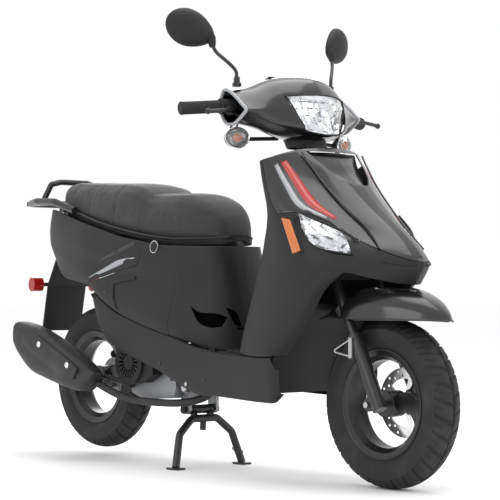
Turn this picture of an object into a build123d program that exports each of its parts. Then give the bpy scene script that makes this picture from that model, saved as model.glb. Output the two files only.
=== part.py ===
from build123d import *
from math import atan2, cos, degrees, hypot, pi, radians, sin
import os

os.makedirs("parts", exist_ok=True)

# A small moped scooter with a step-through floor, in millimetres.
# +X is forward, +Y the rider's left, +Z up. The ground is z = 0, and the origin lies on it,
# halfway between the front of the front tyre and the end of the rack.

# ---- driving dimensions ---------------------------------------------------------------------
wheelbase = 1238.0
tyre_radius = 216.0            # 3.50-10 tyre
tyre_half_width = 46.0
bead_radius = 128.6            # 10 inch rim
flange_radius = 139.0
rim_half_width = 38.0
front_axle_x = 689.0
front_axle_z = tyre_radius
rear_axle_x = front_axle_x - wheelbase
rear_lift = 24.0               # the rear tyre hangs this far off the ground on the centre stand
rear_axle_z = tyre_radius + rear_lift
rake = 26.5                    # steering axis, degrees back from upright
fork_offset = 25.0             # fork legs ahead of the steering axis
leg_spacing = 75.0             # fork leg to centre plane
stanchion_radius = 13.0
slider_radius = 19.0
fork_travel = 50.0
head_tube_radius = 27.0
stem_radius = 15.0
bearing_radius = 22.0
bar_radius = 11.0
grip_radius = 16.0
grip_length = 120.0
floor_tube_y = 70.0
floor_tube_z = 262.0
floor_tube_radius = 13.0
rail_y = 102.0
rail_radius = 12.0
skin = 3.0                     # wall of the moulded covers
fit = 0.05                     # running clearance on a radius
seam = 0.3                     # gap between pieces that only lie together
axle_radius = 6.0
rear_axle_radius = 8.0
hanger = (-60.0, 228.0)        # x, z of the pivot that carries the power unit
hanger_bolt_radius = 6.0
stand_pivot = (-85.0, 163.0)   # x, z of the stand's pin
stand_pin_radius = 7.0
stand_foot_y = 122.0
shock_y = 88.0
shock_top = (-575.0, 632.0)
shock_bottom = (-600.0, 306.0)
seat_hinge = (90.0, 636.0)
seat_pin_radius = 4.0
mirror_half_width = 75.0
mirror_half_height = 48.0
mirror_y = 265.0
mirror_z = 1200.0
rack_end_x = -905.0
rack_z = 783.0
disc_y = 50.0
disc_radius = 90.0
belt_case_y = 112.0             # outer face of the belt case on the left
reach = 600.0                  # longer than any half width, for blocks cut to an outline

# ---- the steering axis ----------------------------------------------------------------------
steer_up = Vector(-sin(radians(rake)), 0, cos(radians(rake)))
steer_forward = Vector(cos(radians(rake)), 0, sin(radians(rake)))
leg_foot = Vector(front_axle_x + 27.0, 0, front_axle_z + 4.0)
steer_foot = leg_foot - steer_forward * fork_offset


def on_axis(along, side=0.0, ahead=0.0):
    """A point by its distance up the steering axis, to the left of it and ahead of it."""
    return steer_foot + steer_up * along + Vector(0, side, 0) + steer_forward * ahead


def on_leg(along, side):
    """A point up the centreline of the fork leg on the given side, -1 or 1."""
    return on_axis(along, side * leg_spacing, fork_offset)


# ---- helpers that add to the part being built -----------------------------------------------
def rod(start, end, radius, bore=0.0, mode=Mode.ADD):
    """A round bar or tube from one point to another."""
    start, end = Vector(*start), Vector(*end)
    with BuildSketch(Plane(origin=start, z_dir=end - start)) as section:
        Circle(radius)
        if bore:
            Circle(bore, mode=Mode.SUBTRACT)
    extrude(section.sketch, amount=(end - start).length, mode=mode)


def box(low, high, mode=Mode.ADD):
    """A straight block between two corners."""
    low, high = Vector(*low), Vector(*high)
    with Locations((low + high) / 2):
        Box(*(high - low), mode=mode)


def bent_tube(points, radius, bend, bore=0.0):
    """A tube along straight runs joined by bends."""
    with BuildLine() as path:
        FilletPolyline(*points, radius=bend)
    wire = path.wire()
    with BuildSketch(Plane(origin=wire @ 0, z_dir=wire % 0)) as section:
        Circle(radius)
        if bore:
            Circle(bore, mode=Mode.SUBTRACT)
    sweep(section.sketch, path=wire)


def side_plate(outline, y_low, y_high, mode=Mode.ADD):
    """A plate with the given side view (x, z), between two values of y."""
    with BuildSketch(Plane.XZ.offset(-y_high)) as view:
        with BuildLine():
            Polyline(*outline, close=True)
        make_face()
    extrude(view.sketch, amount=y_high - y_low, mode=mode)


def side_disc(x, z, y_low, y_high, radius, bore=0.0, mode=Mode.ADD):
    """A disc or ring that turns about a line across the scooter."""
    rod((x, y_low, z), (x, y_high, z), radius, bore, mode)


def outline_block(side, plan, front=None, inset=0.0):
    """A solid cut to a side view (x, z), a half plan (x, y) and a half front view (y, z)."""
    full_plan = list(plan) + [(x, -y) for x, y in reversed(plan)]
    views = [(Plane.XZ, side), (Plane.XY, full_plan)]
    if front:
        views.append((Plane.YZ, list(front) + [(-y, z) for y, z in reversed(front)]))
    with BuildPart() as solid:
        for number, (plane, outline) in enumerate(views):
            with BuildSketch(plane) as view:
                with BuildLine():
                    Polyline(*outline, close=True)
                make_face()
                if inset:
                    offset(amount=-inset, kind=Kind.INTERSECTION)
            mode = Mode.INTERSECT if number else Mode.ADD
            extrude(view.sketch, amount=2 * reach, both=True, mode=mode)
    return solid.part


def shell_of(side, plan, front=None):
    """The moulded skin around such a solid, closed all round."""
    outer = outline_block(side, plan, front)
    inner = outline_block(side, plan, front, skin)
    return outer - inner


def save(part, name):
    """Label one finished piece and write it to its own file."""
    part.label = name
    export_step(part, f"parts/{name}.step")


sides = (("right", -1), ("left", 1))

# ---- wheels ---------------------------------------------------------------------------------
tread_shoulder = tyre_radius - 15.0
hub_half_width = 26.0
hub_radius = 34.0
barrel_radius = 112.0
spoke_half_width = 11.0


def tyre_part(x, z):
    """A hollow tyre about a line across the scooter."""
    with BuildPart() as tyre:
        with BuildSketch(Plane(origin=(x, 0, z))) as section:
            with BuildLine():
                wide = tyre_half_width
                Line((bead_radius + seam, 33), (flange_radius + 1, 33.6))
                ThreePointArc((flange_radius + 1, 33.6), (170, wide), (tread_shoulder, 37))
                ThreePointArc((tread_shoulder, 37), (tyre_radius, 0), (tread_shoulder, -37))
                ThreePointArc((tread_shoulder, -37), (170, -wide), (flange_radius + 1, -33.6))
                Line((flange_radius + 1, -33.6), (bead_radius + seam, -33))
                Line((bead_radius + seam, -33), (bead_radius + seam, -24))
                ThreePointArc((bead_radius + seam, -24), (164, 8 - wide), (191, -28))
                ThreePointArc((191, -28), (tyre_radius - 12, 0), (191, 28))
                ThreePointArc((191, 28), (164, wide - 8), (bead_radius + seam, 24))
                Line((bead_radius + seam, 24), (bead_radius + seam, 33))
            make_face()
        revolve(section.sketch, axis=Axis((x, 0, z), (0, 1, 0)))
    return tyre.part


def rim_part(x, z, bore):
    """An alloy wheel: barrel with two lips, hub, and three broad spokes that sweep round."""
    with BuildPart() as rim:
        with BuildSketch(Plane(origin=(x, 0, z))) as section:
            with BuildLine():
                Polyline((barrel_radius, -20), (bead_radius - 5, -35), (flange_radius, -rim_half_width),
                         (flange_radius, -34.3), (bead_radius, -33), (bead_radius, -20), (117, -10),
                         (117, 10), (bead_radius, 20), (bead_radius, 33), (flange_radius, 34.3),
                         (flange_radius, rim_half_width), (bead_radius - 5, 35), (barrel_radius, 20),
                         close=True)
            make_face()
        revolve(section.sketch, axis=Axis((x, 0, z), (0, 1, 0)))
        with BuildSketch(Plane(origin=(x, spoke_half_width, z), x_dir=(1, 0, 0),
                               z_dir=(0, -1, 0))) as spokes:
            with PolarLocations(0, 3, start_angle=100):
                with BuildLine():
                    ThreePointArc((22, 20), (82, 26), (barrel_radius + 1, -22))
                    Line((barrel_radius + 1, -22), (92, -69))
                    ThreePointArc((92, -69), (70, -20), (22, -20))
                    Line((22, -20), (22, 20))
                make_face()
        extrude(spokes.sketch, amount=2 * spoke_half_width)
        side_disc(x, z, -hub_half_width, hub_half_width, hub_radius)
        side_disc(x, z, -hub_half_width, hub_half_width, bore, mode=Mode.SUBTRACT)
    return rim.part


save(tyre_part(front_axle_x, front_axle_z), "front_tyre")
save(tyre_part(rear_axle_x, rear_axle_z), "rear_tyre")
save(rim_part(front_axle_x, front_axle_z, axle_radius + fit), "front_rim")

# The rear axle is its own piece in the hub, and runs on into the belt case.
with BuildPart() as rear_hub:
    add(rim_part(rear_axle_x, rear_axle_z, rear_axle_radius + fit))
    side_disc(rear_axle_x, rear_axle_z, -hub_half_width - 16, belt_case_y - 12, rear_axle_radius)
    side_disc(rear_axle_x, rear_axle_z, -hub_half_width - 12, -hub_half_width - seam, 15)
save(rear_hub.part, "rear_rim")

# The disc stands on the left end of the front hub, drilled with two rows of holes.
with BuildPart() as brake_disc:
    side_disc(front_axle_x, front_axle_z, disc_y - 2, disc_y + 2, disc_radius, 62)
    side_disc(front_axle_x, front_axle_z, hub_half_width, disc_y + 2, 24, axle_radius + fit)
    with BuildSketch(Plane.XZ.offset(-disc_y - 2)) as arms:
        with Locations((front_axle_x, front_axle_z)):
            with PolarLocations(44, 5):
                Rectangle(44, 12)
    extrude(arms.sketch, amount=4)
    side_disc(front_axle_x, front_axle_z, disc_y - 3, disc_y + 3, axle_radius + fit,
              mode=Mode.SUBTRACT)
    with BuildSketch(Plane.XZ.offset(-disc_y - 3)) as drillings:
        with Locations((front_axle_x, front_axle_z)):
            with PolarLocations(70, 15):
                Circle(3.5)
            with PolarLocations(81, 15, start_angle=12):
                Circle(3.5)
    extrude(drillings.sketch, amount=6, mode=Mode.SUBTRACT)
save(brake_disc.part, "brake_disc")

# ---- front fork -----------------------------------------------------------------------------
slider_top = 190.0
crown_height = 385.0
spacer_radius = axle_radius + 2.6

with BuildPart() as fork_sliders:
    for name, side in sides:
        rod(on_leg(-18, side), on_leg(slider_top, side), slider_radius)
        # lug that carries the axle behind the leg
        side_disc(front_axle_x, front_axle_z, side * leg_spacing - 9, side * leg_spacing + 9, 17)
        box((front_axle_x, side * leg_spacing - 9, front_axle_z - 12),
            (front_axle_x + 27, side * leg_spacing + 9, front_axle_z + 12))
        side_disc(front_axle_x, front_axle_z, side * leg_spacing - 22, side * leg_spacing + 22,
                  axle_radius, mode=Mode.SUBTRACT)
        rod(on_leg(12, side), on_leg(slider_top + 1, side), stanchion_radius + fit,
            mode=Mode.SUBTRACT)
    # ears for the caliper on the left leg
    side_plate([(722, 250), (764, 262), (760, 288), (706, 272)], 76, 82)
save(fork_sliders.part, "fork_sliders")

with BuildPart() as front_axle:
    side_disc(front_axle_x, front_axle_z, -leg_spacing - 14, leg_spacing + 14, axle_radius)
    for name, side in sides:
        end = side * (leg_spacing + 9)
        with BuildSketch(Plane.XZ.offset(-end)) as nut:
            with Locations((front_axle_x, front_axle_z)):
                RegularPolygon(8.2, 6)
        extrude(nut.sketch, amount=-side * 9)
    # spacers between the hub and the two legs, slim enough to pass the sliders
    side_disc(front_axle_x, front_axle_z, -leg_spacing + 9, -hub_half_width - seam, spacer_radius)
    side_disc(front_axle_x, front_axle_z, disc_y + 2 + seam, leg_spacing - 9, spacer_radius)
    # wire guide for the cable, on the right leg
    leg = on_leg(150, -1)
    out = -leg_spacing - slider_radius
    bent_tube([(leg.X - 8, out - 4, leg.Z + 26), (leg.X - 70, out - 8, leg.Z - 6),
               (leg.X - 6, out - 4, leg.Z - 18)], 2.5, 4)
    box((leg.X - 14, out - 6, leg.Z - 22), (leg.X - 2, out - seam, leg.Z + 30))
save(front_axle.part, "axle_and_cable_guide")

caliper_x, caliper_z = 757.0, 262.0
with BuildPart() as brake_caliper:
    with BuildSketch(Plane.XZ.offset(-76)) as body:
        with Locations(Location((caliper_x, caliper_z), 34)):
            RectangleRounded(46, 62, 10)
    extrude(body.sketch, amount=34)
    # slot for the disc
    side_disc(front_axle_x, front_axle_z, disc_y - 4, disc_y + 4, disc_radius + 5, mode=Mode.SUBTRACT)
save(brake_caliper.part, "brake_caliper")

with BuildPart() as steering_stem:
    # stem and crown in one forging
    rod(on_axis(crown_height), on_axis(870), stem_radius)
    with BuildSketch(Plane(origin=on_axis(crown_height - 16), x_dir=(0, 1, 0), z_dir=steer_up)) as crown:
        with Locations((0, -fork_offset / 2)):
            RectangleRounded(2 * leg_spacing + 52, 62, 20)
    extrude(crown.sketch, amount=32)
    for name, side in sides:
        rod(on_leg(crown_height - 17, side), on_leg(crown_height + 17, side),
            stanchion_radius + fit, mode=Mode.SUBTRACT)
    # the two stanchions clamped in it
    for name, side in sides:
        rod(on_leg(fork_travel + 40, side), on_leg(crown_height + 20, side), stanchion_radius)
save(steering_stem.part, "steering_stem")

# ---- frame ----------------------------------------------------------------------------------
head_low, head_high = 420.0, 600.0
down_tube_top = on_axis(470)
rail_points = [(-20, floor_tube_y, floor_tube_z), (-75, 92, 280), (-135, rail_y, 425),
               (-215, rail_y, 588), (-650, rail_y, 690)]


def head_seat(low, high):
    """The ring of steel between the stem and the frame that a headset bearing fills."""
    rod(on_axis(low), on_axis(high), bearing_radius, stem_radius + fit)


with BuildPart() as head_tube:
    rod(on_axis(head_low), on_axis(head_high), head_tube_radius)
    rod(on_axis(head_low - 1), on_axis(head_high + 1), bearing_radius, mode=Mode.SUBTRACT)
    # gusset that carries the front cover and the horn
    with BuildSketch(Plane.XZ.offset(-3)) as gusset:
        with BuildLine():
            Polyline(tuple(on_axis(545, 0, 26))[::2], tuple(on_axis(560, 0, 60))[::2],
                     tuple(on_axis(600, 0, 60))[::2], tuple(on_axis(590, 0, 26))[::2],
                     close=True)
        make_face()
    extrude(gusset.sketch, amount=6)

with BuildPart() as main_frame:
    add(head_tube.part)
    bent_tube([tuple(down_tube_top), (398, 0, 520), (338, 0, 398), (322, 0, floor_tube_z)], 20, 60)
    rod(on_axis(head_low - 1), on_axis(head_high + 1), bearing_radius, mode=Mode.SUBTRACT)
    rod((322, -floor_tube_y, floor_tube_z), (322, floor_tube_y, floor_tube_z), 16)
    for name, side in sides:
        rod((322, side * floor_tube_y, floor_tube_z), (-20, side * floor_tube_y, floor_tube_z),
            floor_tube_radius)
        bent_tube([(x, side * y, z) for x, y, z in rail_points], rail_radius, 35)
        # hanger plate for the power unit
        side_plate([(-20, 270), (-70, 280), (-68, 216), (-48, 216)],
                   side * 69 - 3, side * 69 + 3)
        side_disc(*hanger, side * 69 - 4, side * 69 + 4, hanger_bolt_radius, mode=Mode.SUBTRACT)
    rod((-340, -rail_y, 617), (-340, rail_y, 617), 8)
    rod((-640, -rail_y, 688), (-640, rail_y, 688), 10)
    rod((72, -floor_tube_y, floor_tube_z), (72, floor_tube_y, floor_tube_z), 10)
    # clevis of the shock absorber, under the left rail
    for y in (shock_y - 16, shock_y + 16):
        side_plate([(shock_top[0] - 18, 618), (shock_top[0] + 18, 618),
                    (shock_top[0] + 26, 676), (shock_top[0] - 26, 668)], y - 3, y + 3)
    box((shock_top[0] - 14, shock_y - 19, 664), (shock_top[0] + 14, rail_y, 676))
    side_disc(*shock_top, shock_y - 20, shock_y + 20, 5, mode=Mode.SUBTRACT)
    # post of the seat hinge, off the under-seat cross bar
    side_plate([(60, 250), (84, 250), (seat_hinge[0] + 6, seat_hinge[1]),
                (seat_hinge[0] - 6, seat_hinge[1])], -12, 12)
    side_disc(*seat_hinge, -12, 12, 6.5)
    side_disc(*seat_hinge, -13, 13, seat_pin_radius + fit, mode=Mode.SUBTRACT)
save(main_frame.part, "frame")

with BuildPart() as frame_bearings:
    head_seat(head_low, head_low + 18)
    head_seat(head_high - 18, head_high)
    side_disc(*hanger, -80, 80, hanger_bolt_radius)
    for name, side in sides:
        side_disc(*hanger, side * 76 - 4, side * 76 + 4, 11)
    side_disc(*shock_top, shock_y - 24, shock_y + 24, 5)
    side_disc(*shock_top, shock_y - 25, shock_y - 19, 9)
    side_disc(*shock_top, shock_y + 19, shock_y + 25, 9)
save(frame_bearings.part, "bearings_and_pivot_bolts")

# ---- front body -----------------------------------------------------------------------------
# One envelope holds the apron, the nose and the leg shield, which are cut from it along seams.
front_side = [(352, 850), (474, 881), (531, 832), (561, 776), (756, 630), (804, 569), (769, 515),
              (669, 557), (603, 502), (543, 420), (501, 379), (459, 337), (439, 300), (439, 240),
              (424, 212), (300, 212), (270, 330), (300, 392), (355, 531), (392, 662), (398, 740)]
front_plan = [(260, 165), (350, 165), (400, 182), (500, 199), (590, 196), (669, 150), (760, 75),
              (806, 16)]
front_view = [(165, 200), (165, 330), (200, 560), (200, 700), (182, 790), (150, 850), (60, 890)]
front_skin = shell_of(front_side, front_plan, front_view)
gloss_region = [(425, 900), (470, 716), (545, 712), (670, 642), (830, 584), (900, 700), (560, 960)]
nose_region = [(545, 712), (670, 642), (830, 584), (900, 480), (603, 480), (603, 502), (560, 560),
               (520, 640)]
floor_split_z = 330.0
lock_radius = 12.0
lock_line = ((410, -110, 780), (374, -110, 770))

with BuildPart() as front_cover:
    add(front_skin)
    side_plate(gloss_region, -reach, reach, mode=Mode.INTERSECT)
save(front_cover.part, "front_cover")

with BuildPart() as nose_cover:
    add(front_skin)
    side_plate(nose_region, -reach, reach, mode=Mode.INTERSECT)
    box((560, -140, 480), (900, 140, 572), mode=Mode.SUBTRACT)
save(nose_cover.part, "nose_cover")

with BuildPart() as leg_shield:
    add(front_skin)
    side_plate(gloss_region, -reach, reach, mode=Mode.SUBTRACT)
    side_plate(nose_region, -reach, reach, mode=Mode.SUBTRACT)
    box((0, -reach, 0), (900, reach, floor_split_z), mode=Mode.SUBTRACT)
    # open toward the wheel, and round the steering head
    box((395, -150, floor_split_z), (900, 150, 612), mode=Mode.SUBTRACT)
    box((330, -64, 770), (440, 64, 900), mode=Mode.SUBTRACT)
    rod(*lock_line, lock_radius + fit, mode=Mode.SUBTRACT)
save(leg_shield.part, "leg_shield")

# The liner closes the wheel's housing from behind, round the axle.
liner_radius = 318.0
with BuildPart() as wheel_liner:
    with BuildSketch(Plane.XZ.offset(-140)) as band:
        with Locations((front_axle_x, front_axle_z)):
            Circle(liner_radius)
            Circle(liner_radius - skin, mode=Mode.SUBTRACT)
    extrude(band.sketch, amount=280)
    box((300, -200, 232), (500, 200, 470), mode=Mode.INTERSECT)
    # standoff that meets the down tube
    box((347, -15, 270), (front_axle_x - liner_radius + 6, 15, 300))
save(wheel_liner.part, "wheel_liner")

# ---- floor and lower sides ------------------------------------------------------------------
floor_rear_x = 168.0
floor_front_x = 267.0
skirt_side = [(439, floor_split_z - seam), (439, 240), (424, 212), (380, 213), (91, 220), (-79, 280),
              (-270, 331), (-369, 388), (-410, 503), (-250, 432), (-106, 395), (-14, 374), (119, 344),
              (247, 329)]
skirt_plan = [(440, 189), (400, 182), (350, 165), (-100, 165), (-270, 152), (-412, 150)]
skirt_skin = shell_of(skirt_side, skirt_plan)
with BuildPart() as side_skirts:
    add(skirt_skin)
    box((-reach, -150, 0), (reach, 150, 700), mode=Mode.SUBTRACT)
save(side_skirts.part, "side_skirts")

with BuildPart() as floor_panel:
    side_plate([(floor_front_x, 330), (247, 330), (floor_rear_x, 337), (floor_rear_x, 331), (247, 324),
                (floor_front_x, 324)], -150 + seam, 150 - seam)
    # ribs that stand on the two floor tubes
    for name, side in sides:
        side_plate([(floor_front_x, 326), (247, 326), (floor_rear_x, 332),
                    (floor_rear_x, floor_tube_z + floor_tube_radius + seam),
                    (floor_front_x, floor_tube_z + floor_tube_radius + seam)],
                   side * floor_tube_y - 2, side * floor_tube_y + 2)
save(floor_panel.part, "floor_panel")

with BuildPart() as battery:
    box((96, -46, 238), (216, 46, 322))
    fillet(battery.edges().filter_by(Axis.Z), 4)
    for y in (-28, 28):
        with Locations((200, y, 324)):
            Cylinder(5, 4)
    # tray strap to the floor tubes
    box((140, -floor_tube_y + floor_tube_radius + seam, 258),
        (170, floor_tube_y - floor_tube_radius - seam, 266))

with BuildPart() as electrics:
    post = on_axis(578, 0, 60)
    rod(tuple(post), tuple(post + steer_forward * 34), 33)
    fillet(electrics.edges().filter_by(GeomType.CIRCLE), 4)
    add(battery.part)
save(electrics.part, "battery_and_horn")

# ---- rear body ------------------------------------------------------------------------------
rear_side = [(170, 337 + seam), (152, 422), (135, 505), (118, 589), (106, 628), (-83, 628), (-298, 660),
             (-550, 727), (-694, 766), (-752, 702), (-740, 632), (-612, 546), (-431, 524),
             (-410, 503 + seam), (-250, 432 + seam), (-106, 395 + seam), (-14, 374 + seam),
             (119, 344 + seam)]
rear_plan = [(175, 24), (150, 70), (118, 104), (60, 136), (-20, 152), (-106, 165), (-270, 162),
             (-410, 156), (-550, 136), (-700, 96), (-754, 66)]
rear_front = [(165, 337), (165, 440), (146, 520), (138, 590), (150, 690), (140, 800)]
rear_skin = shell_of(rear_side, rear_plan, rear_front)
tail_region = [(-182, 700), (-182, 582), (-420, 530), (-431, 480), (-900, 480), (-900, 900),
               (-182, 900)]
with BuildPart() as rear_opened:
    add(rear_skin)
    # open over the bucket and the tank, and under the body
    box((-690, -116, 615), (100, 116, 800), mode=Mode.SUBTRACT)
    box((-700, -132, 300), (60, 132, 610), mode=Mode.SUBTRACT)
    # room for the hinge post and the mudguard
    box((50, -30, 300), (100, 30, 700), mode=Mode.SUBTRACT)
    box((-728, -74, 560), (-660, 74, 645), mode=Mode.SUBTRACT)

with BuildPart() as under_seat_cover:
    add(rear_opened.part)
    box((-20, -reach, 0), (reach, reach, 900), mode=Mode.INTERSECT)
    # three vents low in the front
    for y in (-44, 0, 44):
        box((60, y - 16, 392), (reach, y + 16, 398), mode=Mode.SUBTRACT)
save(under_seat_cover.part, "under_seat_cover")

for name, side in sides:
    low, high = sorted((0, side * reach))
    with BuildPart() as side_cover:
        add(rear_opened.part)
        box((-reach, low, 0), (-20, high, 900), mode=Mode.INTERSECT)
        side_plate(tail_region, -reach, reach, mode=Mode.SUBTRACT)
        # cooling slots above the engine
        for x in (-150, -190, -230):
            side_plate([(x, 452), (x + 22, 452), (x + 14, 470), (x - 8, 470)],
                       min(low, -1), max(high, 1), mode=Mode.SUBTRACT)
    save(side_cover.part, f"side_cover_{name}")
    with BuildPart() as tail_cover:
        add(rear_opened.part)
        box((-reach * 2, low, 0), (-20, high, 900), mode=Mode.INTERSECT)
        side_plate(tail_region, -reach, reach, mode=Mode.INTERSECT)
        box((-reach * 2, -58, 630), (-735, 58, 712), mode=Mode.SUBTRACT)
    save(tail_cover.part, f"tail_cover_{name}")

with BuildPart() as rear_lamps:
    with BuildSketch(Plane.XZ.offset(-57)) as lens:
        with BuildLine():
            Polyline((-752, 704), (-766, 668), (-748, 634), (-722, 634), (-722, 704), close=True)
        make_face()
    extrude(lens.sketch, amount=114)
    # mount that reaches the rear cross bar
    box((-722, -20, 668), (-650 - seam, 20, 700))
    # turn lamps on the mudguard's arms
    for name, side in sides:
        with BuildSketch(Plane(origin=(-762, side * 96, 524), x_dir=(1, 0, 0),
                               z_dir=(0, side, 0))) as lamp:
            Ellipse(17, 22)
        extrude(lamp.sketch, amount=36)
save(rear_lamps.part, "rear_lamps")

with BuildPart() as rear_mudguard:
    side_plate([(-682, 632), (-700, 632), (-762, 522), (-792, 380), (-787, 378), (-757, 520),
                (-694, 628)], -72, 72)
    # stay up to the lamp mount
    box((-700, -18, 626), (-682, 18, 668 - seam))
    # arms that carry the two rear turn lamps
    rod((-762, -96, 524), (-762, 96, 524), 6)
save(rear_mudguard.part, "rear_mudguard")

with BuildPart() as reflectors:
    for name, side in sides:
        # long amber reflector on the edge of the leg shield
        with BuildSketch(Plane(origin=(526, side * (199.6 + seam), 640), x_dir=(-0.54, 0, 0.84),
                               z_dir=(0, side, 0))) as face:
            RectangleRounded(88, 30, 8)
        extrude(face.sketch, amount=7)

with BuildPart() as marker_lamps:
    for name, side in sides:
        # three-cornered lamp let into the apron above the seam
        low, high = sorted((side * 186, side * 124))
        side_plate([(556, 716), (676, 652), (640, 690)], low, high)
    add(outline_block(front_side, front_plan, front_view), mode=Mode.SUBTRACT)
    add(reflectors.part)
save(marker_lamps.part, "apron_lamps")

# ---- bucket and tank under the seat ---------------------------------------------------------
bucket_low, bucket_high = (-322, -80, 424), (-30, 80, 612)
bucket_wall = 2.5
rail_run = Vector(-650 + 215, 0, 690 - 588)


def rail_height(x):
    """Height of the seat rails' centreline at a place along the scooter."""
    return 588 + (x + 215) * rail_run.Z / rail_run.X


with BuildPart() as storage_bucket:
    box(bucket_low, bucket_high)
    fillet(storage_bucket.edges().filter_by(Axis.Z), 25)
    inner_low = (bucket_low[0] + bucket_wall, bucket_low[1] + bucket_wall, bucket_low[2] + bucket_wall)
    inner_high = (bucket_high[0] - bucket_wall, bucket_high[1] - bucket_wall, bucket_high[2] + 1)
    box(inner_low, inner_high, mode=Mode.SUBTRACT)
    for name, side in sides:
        low, high = sorted((side * 79, side * (rail_y - rail_radius - seam)))
        box((-285, low, rail_height(-280) - 6), (-275, high, rail_height(-280) + 6))
        low, high = sorted((side * 79, side * (rail_y - rail_radius - seam)))
        box((-225, low, rail_height(-220) - 6), (-215, high, rail_height(-220) + 6))
save(storage_bucket.part, "storage_bucket")

with BuildPart() as fuel_tank:
    side_plate([(-356, 560), (-356, 628), (-530, 656), (-530, 560)], -84, 84)
    fillet(fuel_tank.edges().filter_by(Axis.Y), 10)
    for x in (-380, -510):
        for name, side in sides:
            low, high = sorted((side * 83, side * (rail_y - rail_radius - seam)))
            box((x - 8, low, rail_height(x) - 12), (x + 8, high, rail_height(x) + 2))
    rod((-470, 0, 640), (-470, 0, 668), 24)
save(fuel_tank.part, "fuel_tank")

with BuildPart() as fuel_cap:
    rod((-470, 0, 668), (-470, 0, 682), 30)
    box((-496, -4, 682), (-444, 4, 690))
save(fuel_cap.part, "fuel_cap")

# ---- seat -----------------------------------------------------------------------------------
seat_bottom = [(98, 641), (-83, 641), (-298, 671), (-550, 739), (-690, 781)]
seat_top = [(-700, 812), (-676, 838), (-608, 836), (-538, 828), (-370, 817), (-270, 806), (-222, 782),
            (-182, 776), (-58, 773), (20, 752), (76, 708), (98, 670)]
seat_plan = [(100, 36), (80, 62), (20, 88), (-60, 108), (-200, 128), (-380, 132), (-560, 112),
             (-660, 84), (-702, 44)]
seat_lift = 4.0
with BuildPart() as seat_base:
    side_plate(seat_bottom + [(x, z + seat_lift) for x, z in reversed(seat_bottom)], -reach, reach)
    add(outline_block([(120, 600), (-720, 600), (-720, 900), (120, 900)],
                      [(x, y - 6) for x, y in seat_plan]), mode=Mode.INTERSECT)
    # two ears round the hinge post
    for name, side in sides:
        side_plate([(seat_hinge[0] - 12, 644), (seat_hinge[0] + 2, 644),
                    (seat_hinge[0] + 6, seat_hinge[1] - 7), (seat_hinge[0] - 6, seat_hinge[1] - 7)],
                   side * 15 - 2.5, side * 15 + 2.5)
    box((seat_hinge[0] - 9, -12.5, 638), (seat_hinge[0] + 9, 12.5, 646), mode=Mode.SUBTRACT)
    side_disc(*seat_hinge, -20, 20, seat_pin_radius + fit, mode=Mode.SUBTRACT)
    # its pin
    side_disc(*seat_hinge, -20, 20, seat_pin_radius)
    side_disc(*seat_hinge, -22, -18, 7)
    side_disc(*seat_hinge, 18, 22, 7)
save(seat_base.part, "seat_base")

cushion_bottom = [(x, z + seat_lift) for x, z in seat_bottom]
with BuildPart() as seat_cushion:
    add(outline_block(cushion_bottom + seat_top, seat_plan))
save(seat_cushion.part, "seat_cushion")

# ---- grab rail and rack ---------------------------------------------------------------------
rail_tube = 11.0
with BuildPart() as grab_rail:
    bent_tube([(-530, -130, 747), (-640, -128, 778), (-760, -112, 785), (-868, -66, rack_z),
               (-868, 66, rack_z), (-760, 112, 785), (-640, 128, 778), (-530, 130, 747)], rail_tube, 24)
    # raised hoop behind the seat
    bent_tube([(-735, -104, 790), (-724, -84, 838), (-720, -50, 846), (-720, 50, 846),
               (-724, 84, 838), (-735, 104, 790)], 9, 12)
    # rack plate with two pegs
    with BuildSketch(Plane.XY.offset(rack_z - 7)) as plate:
        with BuildLine():
            Polyline((-770, -92), (rack_end_x, -60), (rack_end_x, 60), (-770, 92), close=True)
        make_face()
        fillet(plate.vertices(), 12)
    extrude(plate.sketch, amount=14)
    box((-852, -50, 700), (-790, 50, 850), mode=Mode.SUBTRACT)
    # feet that reach the seat rails
    for name, side in sides:
        low, high = sorted((side * 114, side * 106))
        box((-612, low, rail_height(-612) + rail_radius + seam), (-588, high, 757))
        low, high = sorted((side * 130, side * 106))
        box((-612, low, 745), (-588, high, 757))
save(grab_rail.part, "grab_rail")

# ---- handlebar ------------------------------------------------------------------------------
bar_mid = on_axis(840)
grip_root = Vector(277, 208, 993)
grip_tip = Vector(239, 330, 982)


def mirrored(point, side):
    """The same point on the right (-1) or the left (1)."""
    return Vector(point.X, side * point.Y, point.Z)


grip_line = (grip_tip - grip_root).normalized()
with BuildPart() as handlebar:
    half = [Vector(bar_mid.X, 52, bar_mid.Z), Vector(bar_mid.X - 2, 104, bar_mid.Z + 26), grip_root,
            grip_root + grip_line * (grip_length + 3)]
    points = [tuple(mirrored(p, -1)) for p in reversed(half)] + [tuple(p) for p in half]
    bent_tube(points, bar_radius, 30)
    # clamp round the stem
    box((bar_mid.X - 24, -30, bar_mid.Z - 22), (bar_mid.X + 24, 30, bar_mid.Z + 22))
    rod(on_axis(780), on_axis(900), stem_radius, mode=Mode.SUBTRACT)
save(handlebar.part, "handlebar")


def on_grip(side, along):
    """A point on the grip's centreline, from its root outward."""
    return mirrored(grip_root + grip_line * along, side)


for name, side in sides:
    with BuildPart() as grip:
        loose = fit if name == "right" else 0.0
        rod(on_grip(side, 8), on_grip(side, 8 + grip_length), grip_radius)
        rod(on_grip(side, 8), on_grip(side, 16), grip_radius + 5)
        rod(on_grip(side, 7), on_grip(side, 8 + grip_length - 4), bar_radius + loose, mode=Mode.SUBTRACT)
    save(grip.part, "throttle_grip" if name == "right" else "left_grip")


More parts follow.
